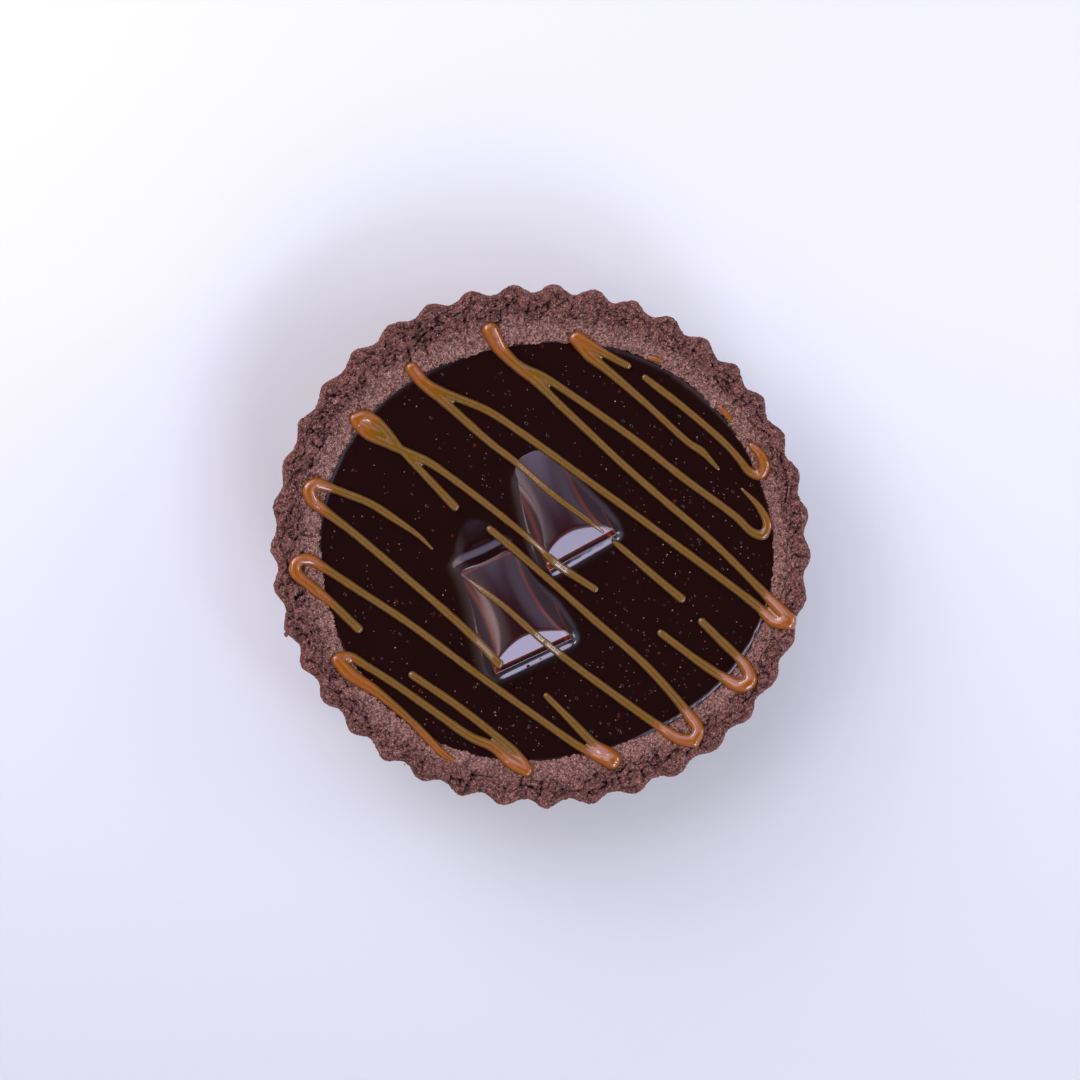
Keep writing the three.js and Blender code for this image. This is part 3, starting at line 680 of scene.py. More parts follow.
def across_bar(piece, u, v):
    """Height of the face across its width, from the shoulder up."""
    left, right = ridges(piece, v)
    off = (u - (left - right) / 2) / ((left + right) / 2)
    middle = piece["middle"]
    if piece["groove"] is not None:
        middle = np.where(v < piece["groove"], SECOND_MIDDLE, middle)
    face = BAR_CROWN - (BAR_CROWN - BAR_EDGE) * off ** 2 - SAG * (v - middle) ** 2
    left_bevel = BAR_EDGE * (piece["left"] - u) / (piece["left"] - left)
    right_bevel = BAR_EDGE * (piece["right"] + u) / (piece["right"] - right)
    left_skirt = -FOOT_DROP * (u - piece["left"]) / FOOT_OUTSET
    right_skirt = FOOT_DROP * (u + piece["right"]) / FOOT_OUTSET
    left_side = soft_min(left_bevel, left_skirt, ROUNDING)
    right_side = soft_min(right_bevel, right_skirt, ROUNDING)
    return soft_min(soft_min(face, right_side, RIGHT_ROUNDING), left_side, LEFT_ROUNDING)


def along_bar(piece, v, fill=1.0):
    """Height allowed by the end bevels, and by the groove at `fill` of its depth."""
    top = BAR_CROWN + 0.1
    front = top * (piece["front"] - v) / FRONT_BEVEL
    beyond = v - piece["front"] - piece["ledge"]
    skirt = np.where(beyond < 0, -LEDGE_FALL * (1 + beyond / piece["ledge"]),
                     -LEDGE_FALL - FOOT_DROP * beyond / FOOT_OUTSET)
    back = top * (v - piece["back"]) / BACK_BEVEL
    skirt = np.where(v < piece["front"], 9.0, skirt)
    front = np.where(v < piece["front"], front, 9.0)
    height = soft_min(np.minimum(front, skirt), back, ROUNDING)
    if piece["groove"] is not None:
        beyond = piece["groove"] - v
        valley = top - GROOVE_DEPTH * fill * (1 - np.abs(beyond) / GROOVE_HALF)
        valley = soft_max(valley, top - GROOVE_DEPTH * fill + 0 * v, 0.5)
        valley = valley - SECOND_DROP * smoothstep(-0.5, 2.5, beyond)
        height = soft_min(height, np.where(beyond > GROOVE_HALF + 1, height, valley), ROUNDING)
    return height


def bar_height(piece, u, v, fill=1.0):
    height = soft_min(across_bar(piece, u, v), along_bar(piece, v, fill), ROUNDING)
    if piece["groove"] is not None:
        height = height - SECOND_DROP * smoothstep(0.0, 2.0, piece["groove"] - v)
    return height


def to_world(piece, u, v, w):
    """Points of a piece's own frame, in the frame of the tart."""
    turn, tilt = piece["heading"], piece["tilt"]
    level = v * np.cos(tilt) - w * np.sin(tilt)
    x = piece["x"] + u * np.cos(turn) - level * np.sin(turn)
    y = piece["y"] + u * np.sin(turn) + level * np.cos(turn)
    z = piece["z"] + v * np.sin(tilt) + w * np.cos(tilt) + piece["roll"] * u
    return np.stack(np.broadcast_arrays(x, y, z), axis=-1)


def to_piece(piece, x, y, fill=1.0):
    """(u, v, w) on the face above (x, y), with the groove at `fill` of its depth."""
    turn, tilt = piece["heading"], piece["tilt"]
    dx, dy = x - piece["x"], y - piece["y"]
    u = dx * np.cos(turn) + dy * np.sin(turn)
    level = -dx * np.sin(turn) + dy * np.cos(turn)
    v = level / np.cos(tilt)
    for _ in range(2):
        w = np.clip(bar_height(piece, u, v, fill), -2, 3)
        v = (level + w * np.sin(tilt)) / np.cos(tilt)
    return u, v, bar_height(piece, u, v, fill)


def beyond_snap(piece, x, y):
    """How far a point lies outside the broken face, in millimetres."""
    if piece["snap"] is None:
        return np.full(np.shape(x), -99.0)
    (ax, ay), (bx, by) = piece["snap"]
    run = np.hypot(bx - ax, by - ay)
    return -((bx - ax) * (y - ay) - (by - ay) * (x - ax)) / run


def bar_top(piece, x, y, fill=1.0):
    """Height of a piece's face above (x, y), far below the table beside it."""
    u, v, w = to_piece(piece, x, y, fill)
    z = (piece["z"] + v * np.sin(piece["tilt"]) + w * np.cos(piece["tilt"])
         + piece["roll"] * u)
    z = z - 2.5 * np.clip(beyond_snap(piece, x, y), 0, None)
    return np.where(w < -3 * FOOT_DROP, -99.0, z)


print("pieces:", [p["front"] - p["back"] for p in (FRONT_PIECE, BACK_PIECE)], "mm long")

# %% [markdown]
# ## Ganache
# Ganache is poured warm, so it levels itself, wets whatever it touches and climbs it a
# little before it sets. Those small curved banks, along the pastry and along the
# chocolate, are what catch the light on a surface that is otherwise a black mirror.
# A bump map would lose them. Against the pastry a bank that fades away is enough. Near
# the chocolate the surface behaves like a stretched skin that is held up by the pieces
# and pulled flat by its weight, so its height is relaxed on a grid, which also lets it
# run over the sunk ends as a thin film and round off the corner between the pieces.

# %% How the ganache wets the chocolate
WET_STEP = 0.16
WET_LENGTH = 1.3  # how far a bank reaches before gravity flattens it
FILM = 0.07
CLIMB = 1.75

wet_u = np.arange(-28.5, 14.6, WET_STEP)[None, :]
wet_v = np.arange(-22.0, 22.1, WET_STEP)[:, None]
wet_turn = FRONT_PIECE["heading"]
wet_x = FRONT_PIECE["x"] + wet_u * np.cos(wet_turn) - wet_v * np.sin(wet_turn)
wet_y = FRONT_PIECE["y"] + wet_u * np.sin(wet_turn) + wet_v * np.cos(wet_turn)


def averaged_rise(piece):
    """How far a piece stands out, averaged over each cell so that no edge is stepped."""
    total = 0
    for du in (-0.055, 0, 0.055):
        for dv in (-0.055, 0, 0.055):
            top = bar_top(piece, wet_x + du, wet_y + dv, fill=0.3)  # it fills the groove
            total = total + np.maximum(top - GANACHE_LEVEL, -2) / 9
    return total


held_up = np.zeros_like(wet_x)
for piece in (FRONT_PIECE, BACK_PIECE):
    rise = averaged_rise(piece)
    drained = 0.25 * smoothstep(0.2, 1.3, rise)
    across, along, _ = to_piece(piece, wet_x, wet_y)
    if piece["groove"] is not None:  # what lies beyond the groove is glazed all over
        drained = drained * (1 - smoothstep(-1.5, 0.0, piece["groove"] - along))
    else:  # the sunk end comes up through the ganache clean
        drained = drained + 0.2 * (1 - smoothstep(3.0, 6.0, along - piece["back"])) * (
            1 - smoothstep(2.5, 5.5, across))
    film = rise + FILM - drained
    held_up = np.maximum(held_up, soft_min(film, CLIMB + 0 * rise, 0.2))
skin = held_up.copy()
pull = 4 + (WET_STEP / WET_LENGTH) ** 2
for step in range(500):
    around = skin[:-2, 1:-1] + skin[2:, 1:-1] + skin[1:-1, :-2] + skin[1:-1, 2:]
    skin[1:-1, 1:-1] = np.maximum(around / pull, held_up[1:-1, 1:-1])
for step in range(10):  # the set film rounds every line it covers
    around = skin[:-2, 1:-1] + skin[2:, 1:-1] + skin[1:-1, :-2] + skin[1:-1, 2:]
    skin[1:-1, 1:-1] = (skin[1:-1, 1:-1] + around / 4) / 2
print(f"ganache climbs {skin.max():.2f} mm, {skin[0].max():.4f} at the edge of the grid")


# %% Height of the ganache
def wet_place(x, y):
    """Column and row of a point on the grid round the pieces."""
    dx, dy = x - FRONT_PIECE["x"], y - FRONT_PIECE["y"]
    u = dx * np.cos(wet_turn) + dy * np.sin(wet_turn)
    v = -dx * np.sin(wet_turn) + dy * np.cos(wet_turn)
    return (u - wet_u[0, 0]) / WET_STEP, (v - wet_v[0, 0]) / WET_STEP


def lobe(theta, centre, half_width):
    """1 within half_width degrees of a direction, and 0 well away from it."""
    off = np.abs((theta - np.radians(centre) + np.pi) % (2 * np.pi) - np.pi)
    return 1 - smoothstep(np.radians(half_width - 8), np.radians(half_width + 8), off)


def bank(theta, from_wall):
    """How far the ganache climbs the pastry: in wide smooth banks at the back, and
    in a short ragged one at the front right."""
    back_right = lobe(theta, 55, 20)
    back_left = lobe(theta, 142, 30)
    front_right = lobe(theta, 322, 22)
    ragged = 0.35 * noise(theta / (2 * np.pi) * 130, 0.5, 81, around=130)
    ragged = ragged + 0.3 * noise(theta / (2 * np.pi) * 310, 0.5, 82, around=310)
    ragged = ragged + 0.25 * noise(theta / (2 * np.pi) * 680, 0.5, 83, around=680)
    reach = 0.3 + 0.8 * back_right + 0.55 * back_left
    climb = 0.11 + 0.38 * back_right + 0.32 * back_left + 0.4 * front_right
    climb = climb * (1 + ragged * (0.3 + 0.7 * front_right))
    over = np.clip(-from_wall, 0, None)
    return climb * np.exp(-np.clip(from_wall, 0, None) / reach) - 1.5 * over


def ganache_height(x, y):
    theta = np.arctan2(y, x)
    height = GANACHE_LEVEL + bank(theta, inner_radius(theta) - np.hypot(x, y))
    column, row = wet_place(x, y)
    rows, columns = skin.shape
    on_grid = (column > 0) & (column < columns - 1) & (row > 0) & (row < rows - 1)
    column, row = np.clip(column, 0, columns - 1.001), np.clip(row, 0, rows - 1.001)
    i, j = row.astype(int), column.astype(int)
    a, b = row - i, column - j
    near = ((skin[i, j] * (1 - b) + skin[i, j + 1] * b) * (1 - a)
            + (skin[i + 1, j] * (1 - b) + skin[i + 1, j + 1] * b) * a)
    return height + np.where(on_grid, near, 0.0)


# %% [markdown]
# ### Finish: dark ganache, poured and set
# Melted chocolate and cream set to a smooth, wet-looking gloss. It behaves like a
# clear varnish over something almost black: an index near 1.5, low roughness and a
# colour so deep that only the mirrored room shows on it. Here and there a droplet of
# cocoa butter that didn't blend in shows as a dull red spot under the gloss.

# %% Dark ganache
CLOUD = 0.009  # metres, uneven mixing
DROPLET = 0.0021  # metres, from one droplet to the next
RIPPLE = 0.0011  # metres, drawn coarser than the real skin so that it shows

ganache_finish, tree = new_material("poured_dark_ganache")
place = add_node(tree, "ShaderNodeTexCoord").outputs["Object"]
clouds = add_node(tree, "ShaderNodeTexNoise", {
    "Vector": place, "Scale": 1 / CLOUD, "Detail": 3.0})
deep = add_node(tree, "ShaderNodeMix", {
    FACTOR: clouds.outputs["Fac"], FIRST: linear("#170705"), SECOND: linear("#1F0B08"),
}, data_type="RGBA")
droplets = add_node(tree, "ShaderNodeTexVoronoi", {"Vector": place, "Scale": 1 / DROPLET})
lot = add_node(tree, "ShaderNodeSeparateColor", {"Color": droplets.outputs["Color"]})
few = add_node(tree, "ShaderNodeMath", {
    0: lot.outputs["Red"], 1: 0.8}, operation="GREATER_THAN")
size = add_node(tree, "ShaderNodeMapRange", {
    "Value": lot.outputs["Green"], "To Min": 0.08, "To Max": 0.26})
blot = add_node(tree, "ShaderNodeMapRange", {
    "Value": droplets.outputs["Distance"], "From Min": size.outputs["Result"],
    "From Max": 0.02, "To Max": 0.8}, interpolation_type="SMOOTHSTEP")
butter = add_node(tree, "ShaderNodeMath", {
    0: blot.outputs["Result"], 1: few.outputs["Value"]}, operation="MULTIPLY")
spotted = add_node(tree, "ShaderNodeMix", {
    FACTOR: butter.outputs["Value"], FIRST: deep.outputs[MIXED],
    SECOND: linear("#5E2414")}, data_type="RGBA")
unevenness = add_node(tree, "ShaderNodeTexNoise", {
    "Vector": place, "Scale": 1 / RIPPLE, "Detail": 2.0})
dull = add_node(tree, "ShaderNodeMapRange", {
    "Value": unevenness.outputs["Fac"], "To Min": 0.08, "To Max": 0.16})
ripple = add_node(tree, "ShaderNodeBump", {
    "Height": unevenness.outputs["Fac"], "Strength": 0.25, "Distance": 0.00004})
surface = add_node(tree, "ShaderNodeBsdfPrincipled", {
    "Base Color": spotted.outputs[MIXED], "Roughness": dull.outputs["Result"], "IOR": 1.5,
    "Normal": ripple.outputs["Normal"]})
add_node(tree, "ShaderNodeOutputMaterial", {"Surface": surface.outputs["BSDF"]})
print(ganache_finish.name, len(tree.nodes), "nodes")

# %% The filling
FILL_COLUMNS = 720
FILL_RINGS = 110
EDGE_LAP = 0.5  # the glaze laps over the foot of the pastry slope

theta = np.arange(FILL_COLUMNS) / FILL_COLUMNS * 2 * np.pi
reach = inner_radius(theta) + EDGE_LAP


def fill_ring(radius, z):
    return np.stack([radius * np.cos(theta), radius * np.sin(theta),
                     np.broadcast_to(z, theta.shape)], axis=-1)


lower = [fill_ring(inner_radius(theta) - 4, BASE_THICKNESS + GAP),
         fill_ring(inner_radius(theta) - 2, 9.0),
         fill_ring(reach - 0.1, 17.2)]
upper = []
fade = np.linspace(1, 0, FILL_RINGS, endpoint=False)
for s in 1 - (1 - fade) ** 1.6:
    x, y = reach * s * np.cos(theta), reach * s * np.sin(theta)
    column, row = wet_place(x, y)
    margin = np.minimum(np.minimum(column, skin.shape[1] - 1 - column),
                        np.minimum(row, skin.shape[0] - 1 - row)) * WET_STEP
    under = GANACHE_LEVEL - 0.6 * smoothstep(0.5, 1.2, margin)
    z = np.where(margin > 0, under, ganache_height(x, y))
    upper.append(fill_ring(reach * s, z))
fill = np.array(lower + upper)
centre = GANACHE_LEVEL - 0.6
points = np.vstack([[[0, 0, BASE_THICKNESS + GAP]], fill.reshape(-1, 3), [[0, 0, centre]]])
ganache = add_piece("ganache_poured", points, around_faces(len(fill), FILL_COLUMNS),
                    ganache_finish)
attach(ganache, "root")
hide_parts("ganache")


# %% The surface round the pieces
def block(top, floor_z):
    """A grid of points closed by a vertical skirt and a flat underside."""
    rows, columns = top.shape[:2]
    index = np.arange(rows * columns).reshape(rows, columns)
    quads = np.stack([index[:-1, :-1], index[:-1, 1:], index[1:, 1:], index[1:, :-1]],
                     axis=-1).reshape(-1, 4)
    loop = np.concatenate([index[0, :-1], index[:-1, -1], index[-1, :0:-1], index[:0:-1, 0]])
    rim = top.reshape(-1, 3)[loop]
    drop = rim * [1, 1, 0] + [0, 0, floor_z]
    upper = rows * columns + np.arange(len(loop))  # a second rim keeps the edge sharp
    lower = upper + len(loop)
    ahead = np.roll(np.arange(len(loop)), -1)
    skirt = np.stack([upper[ahead], upper, lower, lower[ahead]], axis=-1)
    faces = quads.tolist() + skirt.tolist() + [lower[::-1].tolist()]
    return np.vstack([top.reshape(-1, 3), rim, drop]), faces


ABOVE = 0.004  # keeps the two surfaces from meeting exactly
top = np.stack([wet_x, wet_y, GANACHE_LEVEL + ABOVE + skin], axis=-1)
wetted = add_piece("ganache_wetting", *block(top, GANACHE_LEVEL - 0.5), ganache_finish)
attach(wetted, "root")
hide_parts("ganache")

# %% [markdown]
# ## Moulded chocolate
# Each piece is a fine grid in its own frame, drawn in to the broken edge on one side
# and dropped straight down round its outline, so it is one closed body. Where two
# faces of the moulding meet, the chocolate is thin, and the light that shines through
# it there is painted into its colour as an orange glow, so the nearness of those lines
# is kept as `edge` for the finish.
#
# ### Finish: tempered dark chocolate, moulded
# Tempered cocoa butter sets hard against the mould and keeps its polish, so the gloss
# is close to that of a plastic moulding: an index near 1.47 and a roughness of about
# 0.2, broken by fine scuffs. A faint bloom shifts the brown from place to place.

# %% Tempered dark chocolate
BLOOM = 0.004  # metres, patches of bloom
SCUFF = 0.0007  # metres, scuffs and pores from the mould

bar_finish, tree = new_material("moulded_dark_chocolate")
place = add_node(tree, "ShaderNodeTexCoord").outputs["Object"]
light_through_edges = add_node(tree, "ShaderNodeAttribute", attribute_name="edge")
bloom = add_node(tree, "ShaderNodeTexNoise", {
    "Vector": place, "Scale": 1 / BLOOM, "Detail": 4.0, "Roughness": 0.6})
body = add_node(tree, "ShaderNodeMix", {
    FACTOR: bloom.outputs["Fac"], FIRST: linear("#220C0F"), SECOND: linear("#2A1113"),
}, data_type="RGBA")
# Painted light: an orange glow on the thin edges, where light would shine through the chocolate.
warm = add_node(tree, "ShaderNodeMix", {
    FACTOR: light_through_edges.outputs["Fac"], FIRST: body.outputs[MIXED], SECOND: linear("#7C3616"),
}, data_type="RGBA")
scuffs = add_node(tree, "ShaderNodeTexNoise", {
    "Vector": place, "Scale": 1 / SCUFF, "Detail": 5.0, "Roughness": 0.7})
gloss = add_node(tree, "ShaderNodeMapRange", {
    "Value": scuffs.outputs["Fac"], "To Min": 0.15, "To Max": 0.21})
pores = add_node(tree, "ShaderNodeBump", {
    "Height": scuffs.outputs["Fac"], "Strength": 0.2, "Distance": 0.00002})
surface = add_node(tree, "ShaderNodeBsdfPrincipled", {
    "Base Color": warm.outputs[MIXED], "Roughness": gloss.outputs["Result"], "IOR": 1.47,
    "Coat Weight": 0.25, "Coat Roughness": 0.08, "Normal": pores.outputs["Normal"]})
add_node(tree, "ShaderNodeOutputMaterial", {"Surface": surface.outputs["BSDF"]})
print(bar_finish.name, len(tree.nodes), "nodes")


# %% The pieces
GRID_STEP = 0.16
BAR_FLOOR = 12.6  # the buried underside


def edge_glow(piece, u, v):
    """1 on the edges of the moulding, where light shining through the thin chocolate is painted as an
    orange glow, fading over a few tenths of a millimetre.
    """
    left, right = ridges(piece, v)
    ahead = smoothstep(piece["middle"] - 4, piece["front"], v)
    lines = [
        0.6 * np.exp(-((u - left - 0.45) / 0.4) ** 2),
        (0.45 + 0.3 * ahead) * np.exp(-((u + right + 0.2) / 0.3) ** 2),
        0.6 * np.exp(-((u - piece["left"] + 0.1) / 0.2) ** 2) * (v > piece["middle"] - 2),
        0.7 * ahead * np.exp(-((u + piece["right"] - 0.1) / 0.2) ** 2),
        0.6 * np.exp(-((v - piece["front"] - 0.05) / 0.16) ** 2),
        np.exp(-(np.hypot(u - piece["left"], v - piece["front"] - 0.3) / 0.8) ** 2),
    ]
    ridge = across_bar(piece, u, v) - along_bar(piece, v)
    lines.append(0.3 * np.exp(-(ridge / 0.12) ** 2) * (v > piece["middle"]))
    if piece["groove"] is not None:
        lines.append(0.7 * np.exp(-((v - piece["groove"] - GROOVE_HALF) / 0.2) ** 2))
    glow = np.maximum.reduce(np.broadcast_arrays(*lines))
    return np.clip(glow * (0.75 + 0.25 * noise(u * 1.3, v * 0.5, 61)), 0, 1)


def bar_piece(name, piece, node):
    tip = piece["front"] + piece["ledge"] + FOOT_OUTSET
    v = np.arange(piece["back"] + 0.1, tip + 1e-6, GRID_STEP)[:, None]
    start = np.full(v.shape, -piece["right"] - FOOT_OUTSET)
    end = piece["left"] + FOOT_OUTSET
    if piece["snap"] is not None:
        for _ in range(3):
            flank = to_world(piece, start, v, bar_height(piece, start, v))
            start = start + np.clip(beyond_snap(piece, flank[..., 0], flank[..., 1]), 0, None)
    steps = int((end + piece["right"] + FOOT_OUTSET) / GRID_STEP)
    t = np.linspace(0, 1, steps)[None, :]
    u = start * (1 - t) + end * t
    w = np.maximum(bar_height(piece, u, v), -FOOT_DROP)
    points, faces = block(to_world(piece, u, v, w), BAR_FLOOR)
    glow = np.concatenate([edge_glow(piece, u, v).ravel(), np.zeros(len(points) - u.size)])
    shown = add_piece(name, points, faces, bar_finish, attributes={"edge": glow})
    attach(shown, "root")
    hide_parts(node)


bar_piece("chocolate_front_moulded", FRONT_PIECE, "chocolate_front")
bar_piece("chocolate_back_moulded", BACK_PIECE, "chocolate_back")

# %% [markdown]
# ## Caramel drizzle
# Salted caramel falls from a spoon that swings to and fro, so each stroke is a long
# shallow hairpin that starts or ends in a fat drop on the rim. A curve with a bevel
# would float over the chocolate and cross itself at every turn. Here each stroke is a
# tube of changing width laid on whatever is under it, and all of them are fused by a
# voxel remesh and smoothed, which lets neighbouring strands run together like syrup.

# %% Strokes, [x, y, width] along each one
STROKES = [  # the last three fill the closed loop and add two loose drips
    [[-34.7, -15.9, 1.7], [-39.7, -11.1, 1.7], [-43.8, -7.7, 1.8], [-46.5, -5, 2],
     [-46, -3.2, 2], [-44, -2.8, 2], [-41.5, -4.2, 1.8], [-35.5, -8.1, 1.6],
     [-25, -15, 1.5], [-13.7, -23.4, 1.5], [-1.5, -32.2, 1.5], [8.6, -39, 1.7],
     [13, -40.5, 3.2]],
    [[12.6, -40, 2.8], [9.5, -37.4, 1.8], [4.9, -32.7, 1.5], [0.7, -28.5, 1.2]],
    [[-38.6, -21.8, 2.1], [-36.5, -24.2, 2.3], [-31, -28, 1.9], [-24.8, -33.3, 1.5],
     [-18.7, -39.4, 1.3], [-16.6, -40.7, 0.6]],
    [[-38.4, -21.4, 1.9], [-36.3, -21.2, 1.8], [-33.4, -22.8, 1.6], [-28, -26.2, 1.5],
     [-20, -31.8, 1.6], [-13.5, -36.3, 1.8], [-9.5, -38.1, 2], [-6, -41, 2.2],
     [-3, -42.6, 2]],
    [[-3, -42.2, 2], [-5.2, -39.2, 1.8], [-9.5, -35.5, 1.6], [-16.5, -30.1, 1.6],
     [-24.6, -24.6, 1.5]],
    [[-20.8, -0.8, 0.6], [-23.4, 1.7, 1], [-28, 4.9, 1.5], [-32.4, 7.7, 1.6],
     [-36.8, 9.5, 1.6], [-40.6, 10.9, 1.8], [-42.8, 11.4, 2], [-43.9, 10.3, 2.1],
     [-43.4, 8.4, 2.1], [-41.5, 6.7, 1.9], [-35.9, 2.4, 1.6], [-24.9, -6.9, 1.5],
     [-16.5, -14.2, 1.6], [-11.2, -19.2, 1.7], [-8.2, -22.4, 1.8]],
    [[-16.5, 7.1, 1.7], [-23, 14, 1.5], [-26.8, 18.1, 1.5], [-29.3, 21.2, 1.8],
     [-31.2, 23.1, 2], [-33.4, 24.1, 2.2], [-35.2, 23.6, 2.2]],
    [[-34.9, 22.9, 2.2], [-33.1, 20.9, 2.2], [-29.3, 19, 1.8], [-21.8, 15.7, 1.6],
     [-18, 13.2, 1.5], [-6, 4, 1.4], [-0.8, -0.4, 1.1], [2.2, -3.3, 1.7],
     [6, -5.9, 1.6], [9.9, -8.4, 1.4]],
    [[-24.6, 33.1, 2.2], [-22.4, 30.3, 2.4], [-19.3, 27.6, 1.9], [-9.6, 19, 1.5],
     [-5, 15.5, 1.4], [2.2, 9.2, 1.3], [8, 4.9, 1.1], [11.4, 2.3, 0.6]],
    [[-24.2, 32.6, 2.1], [-21.6, 30, 2.3], [-18.5, 28.6, 1.8], [-10.3, 25.2, 1.5],
     [-4.3, 21.3, 1.5], [9.6, 11.3, 1.5], [18.3, 5, 1.5], [36.5, -8.5, 1.6],
     [40.6, -11.7, 1.8], [43.6, -14.4, 2.1], [46.2, -14.6, 2.4]],
    [[46.3, -14, 2.3], [44.4, -11.9, 2], [39.3, -6.6, 1.6], [32.2, 0.4, 1.5],
     [22.6, 8.6, 1.5], [15.2, 15.1, 1.5], [8.1, 21.8, 1.5], [2.5, 27.1, 1.6],
     [-0.8, 30.4, 1.9], [-4.8, 33.7, 2.2], [-8, 37, 2.5], [-9.8, 40.2, 2.8]],
    [[-9.8, 39.6, 2.2], [-7.3, 35.9, 2.2], [-3.8, 33.4, 1.8], [0.1, 31.7, 1.6],
     [5.2, 28.4, 1.5], [11.4, 24.1, 1.5], [18.3, 19.1, 1.5], [26.5, 12.6, 1.5],
     [36.5, 5.2, 1.5], [39.6, 2.3, 1.7], [41.6, 1.8, 1.9], [42.4, 3.7, 1.8],
     [40.9, 7, 1.4], [37.6, 10.5, 0.6]],
    [[16.1, 33.7, 1.4], [12.7, 35.5, 1.6], [9.5, 37.3, 1.9], [6.6, 39, 2.2]],
    [[6.2, 38.8, 2.2], [8.6, 35.8, 2.1], [12.1, 33, 1.8], [19.6, 26.5, 1.4],
     [27.7, 19.1, 1.4], [30, 17.6, 1.6], [33.2, 14.2, 0.7]],
    [[19.3, 31.5, 1.3], [22.4, 29.1, 1.5], [25.8, 26.5, 1.4], [34.3, 19.2, 1.4],
     [37.2, 16, 1.5], [39, 13.8, 1.8], [40.9, 13.1, 1.9], [41.8, 14.6, 1.8],
     [40.9, 17.1, 1.6], [39.4, 18.6, 1.2]],
    [[-9.9, 2.9, 1.4], [-6.3, -0.1, 1.6], [0.3, -5.8, 1.4], [9.6, -14.1, 1.5],
     [15.2, -18.9, 1.5], [19.6, -22.9, 1.6], [24.1, -27.8, 1.7], [27.4, -31.9, 1.9],
     [29.3, -35, 2.1], [28.4, -36.9, 2.2]],
    [[28.4, -36.9, 2.2], [25.8, -36.6, 2], [21.3, -33.8, 1.8], [14.8, -29.2, 1.6],
     [5.4, -22.3, 1.5], [0, -18, 1.4], [-2.7, -15.6, 1.4], [-7.2, -11.6, 1.2],
     [-11.5, -8.4, 1.3], [-13.8, -6.7, 0.6]],
    [[13.4, 0.5, 0.8], [14.6, -0.4, 1.3], [21.4, -6.2, 1.5], [26.2, -10.2, 1.7]],
    [[22.3, -16.7, 1.4], [30.1, -22.5, 1.7], [34, -25, 2], [37.2, -26.6, 2.2],
     [39, -25.6, 2.2], [38.4, -23.2, 1.9], [33, -17.5, 1.7], [30, -14.5, 1.6]],
    [[-34.6, 22.9, 2.6], [-33.2, 22.0, 2.6], [-31.6, 21.3, 2.0], [-29.8, 20.4, 1.4]],
    [[20.2, 35.2, 0.8], [21.3, 34.9, 1.0], [22.4, 34.5, 0.7]],
    [[33.2, 26.1, 0.6], [34.4, 24.8, 1.1], [35.6, 23.3, 0.8]],
]


def smooth_route(stroke, step=0.35):
    """Points every `step` millimetres along the centripetal curve through a stroke."""
    knots = np.array(stroke, float)
    ends = [2 * knots[0] - knots[1], *knots, 2 * knots[-1] - knots[-2]]
    route = []
    for a, b, c, d in zip(ends, ends[1:], ends[2:], ends[3:]):
        gaps = [max(np.hypot(*(q - p)[:2]) ** 0.5, 1e-3) for p, q in ((a, b), (b, c), (c, d))]
        first = (b - a) / gaps[0] - (c - a) / (gaps[0] + gaps[1]) + (c - b) / gaps[1]
        last = (c - b) / gaps[1] - (d - b) / (gaps[1] + gaps[2]) + (d - c) / gaps[2]
        first, last = first * gaps[1], last * gaps[1]
        count = max(2, int(np.hypot(*(c - b)[:2]) / step))
        t = np.linspace(0, 1, count, endpoint=False)[:, None]
        curve = ((2 * b - 2 * c + first + last) * t ** 3
                 + (3 * c - 3 * b - 2 * first - last) * t ** 2 + first * t + b)
        curve[:, 2:] = b[2] + (c[2] - b[2]) * t
        route.append(curve)
    return np.vstack([*route, knots[-1:]])


# %% [markdown]
# ### Laying the strokes
# The tube follows the height of the rim, the ganache or the chocolate under it,
# averaged over a short stretch because thick syrup bridges small steps. On dry pastry
# it spreads less and stands wider and higher than on the ganache.

# %% Tubes of caramel
DRAPE = 1.2
BEAD_RISE = 0.9
TUBE_SIDES = 14


def landing(x, y):
    """Height of whatever the caramel falls on."""
    radius, theta = np.hypot(x, y), np.arctan2(y, x)
    inner, outer = inner_radius(theta), outer_radius(theta)
    share = np.clip(1 - (radius - inner) / (outer - inner), 0, 1)
    rim = np.where(radius > inner - 0.5, rim_height(theta, share), 0)
    tops = [bar_top(piece, x, y) for piece in (FRONT_PIECE, BACK_PIECE)]
    return np.maximum.reduce([rim, ganache_height(x, y), *tops])


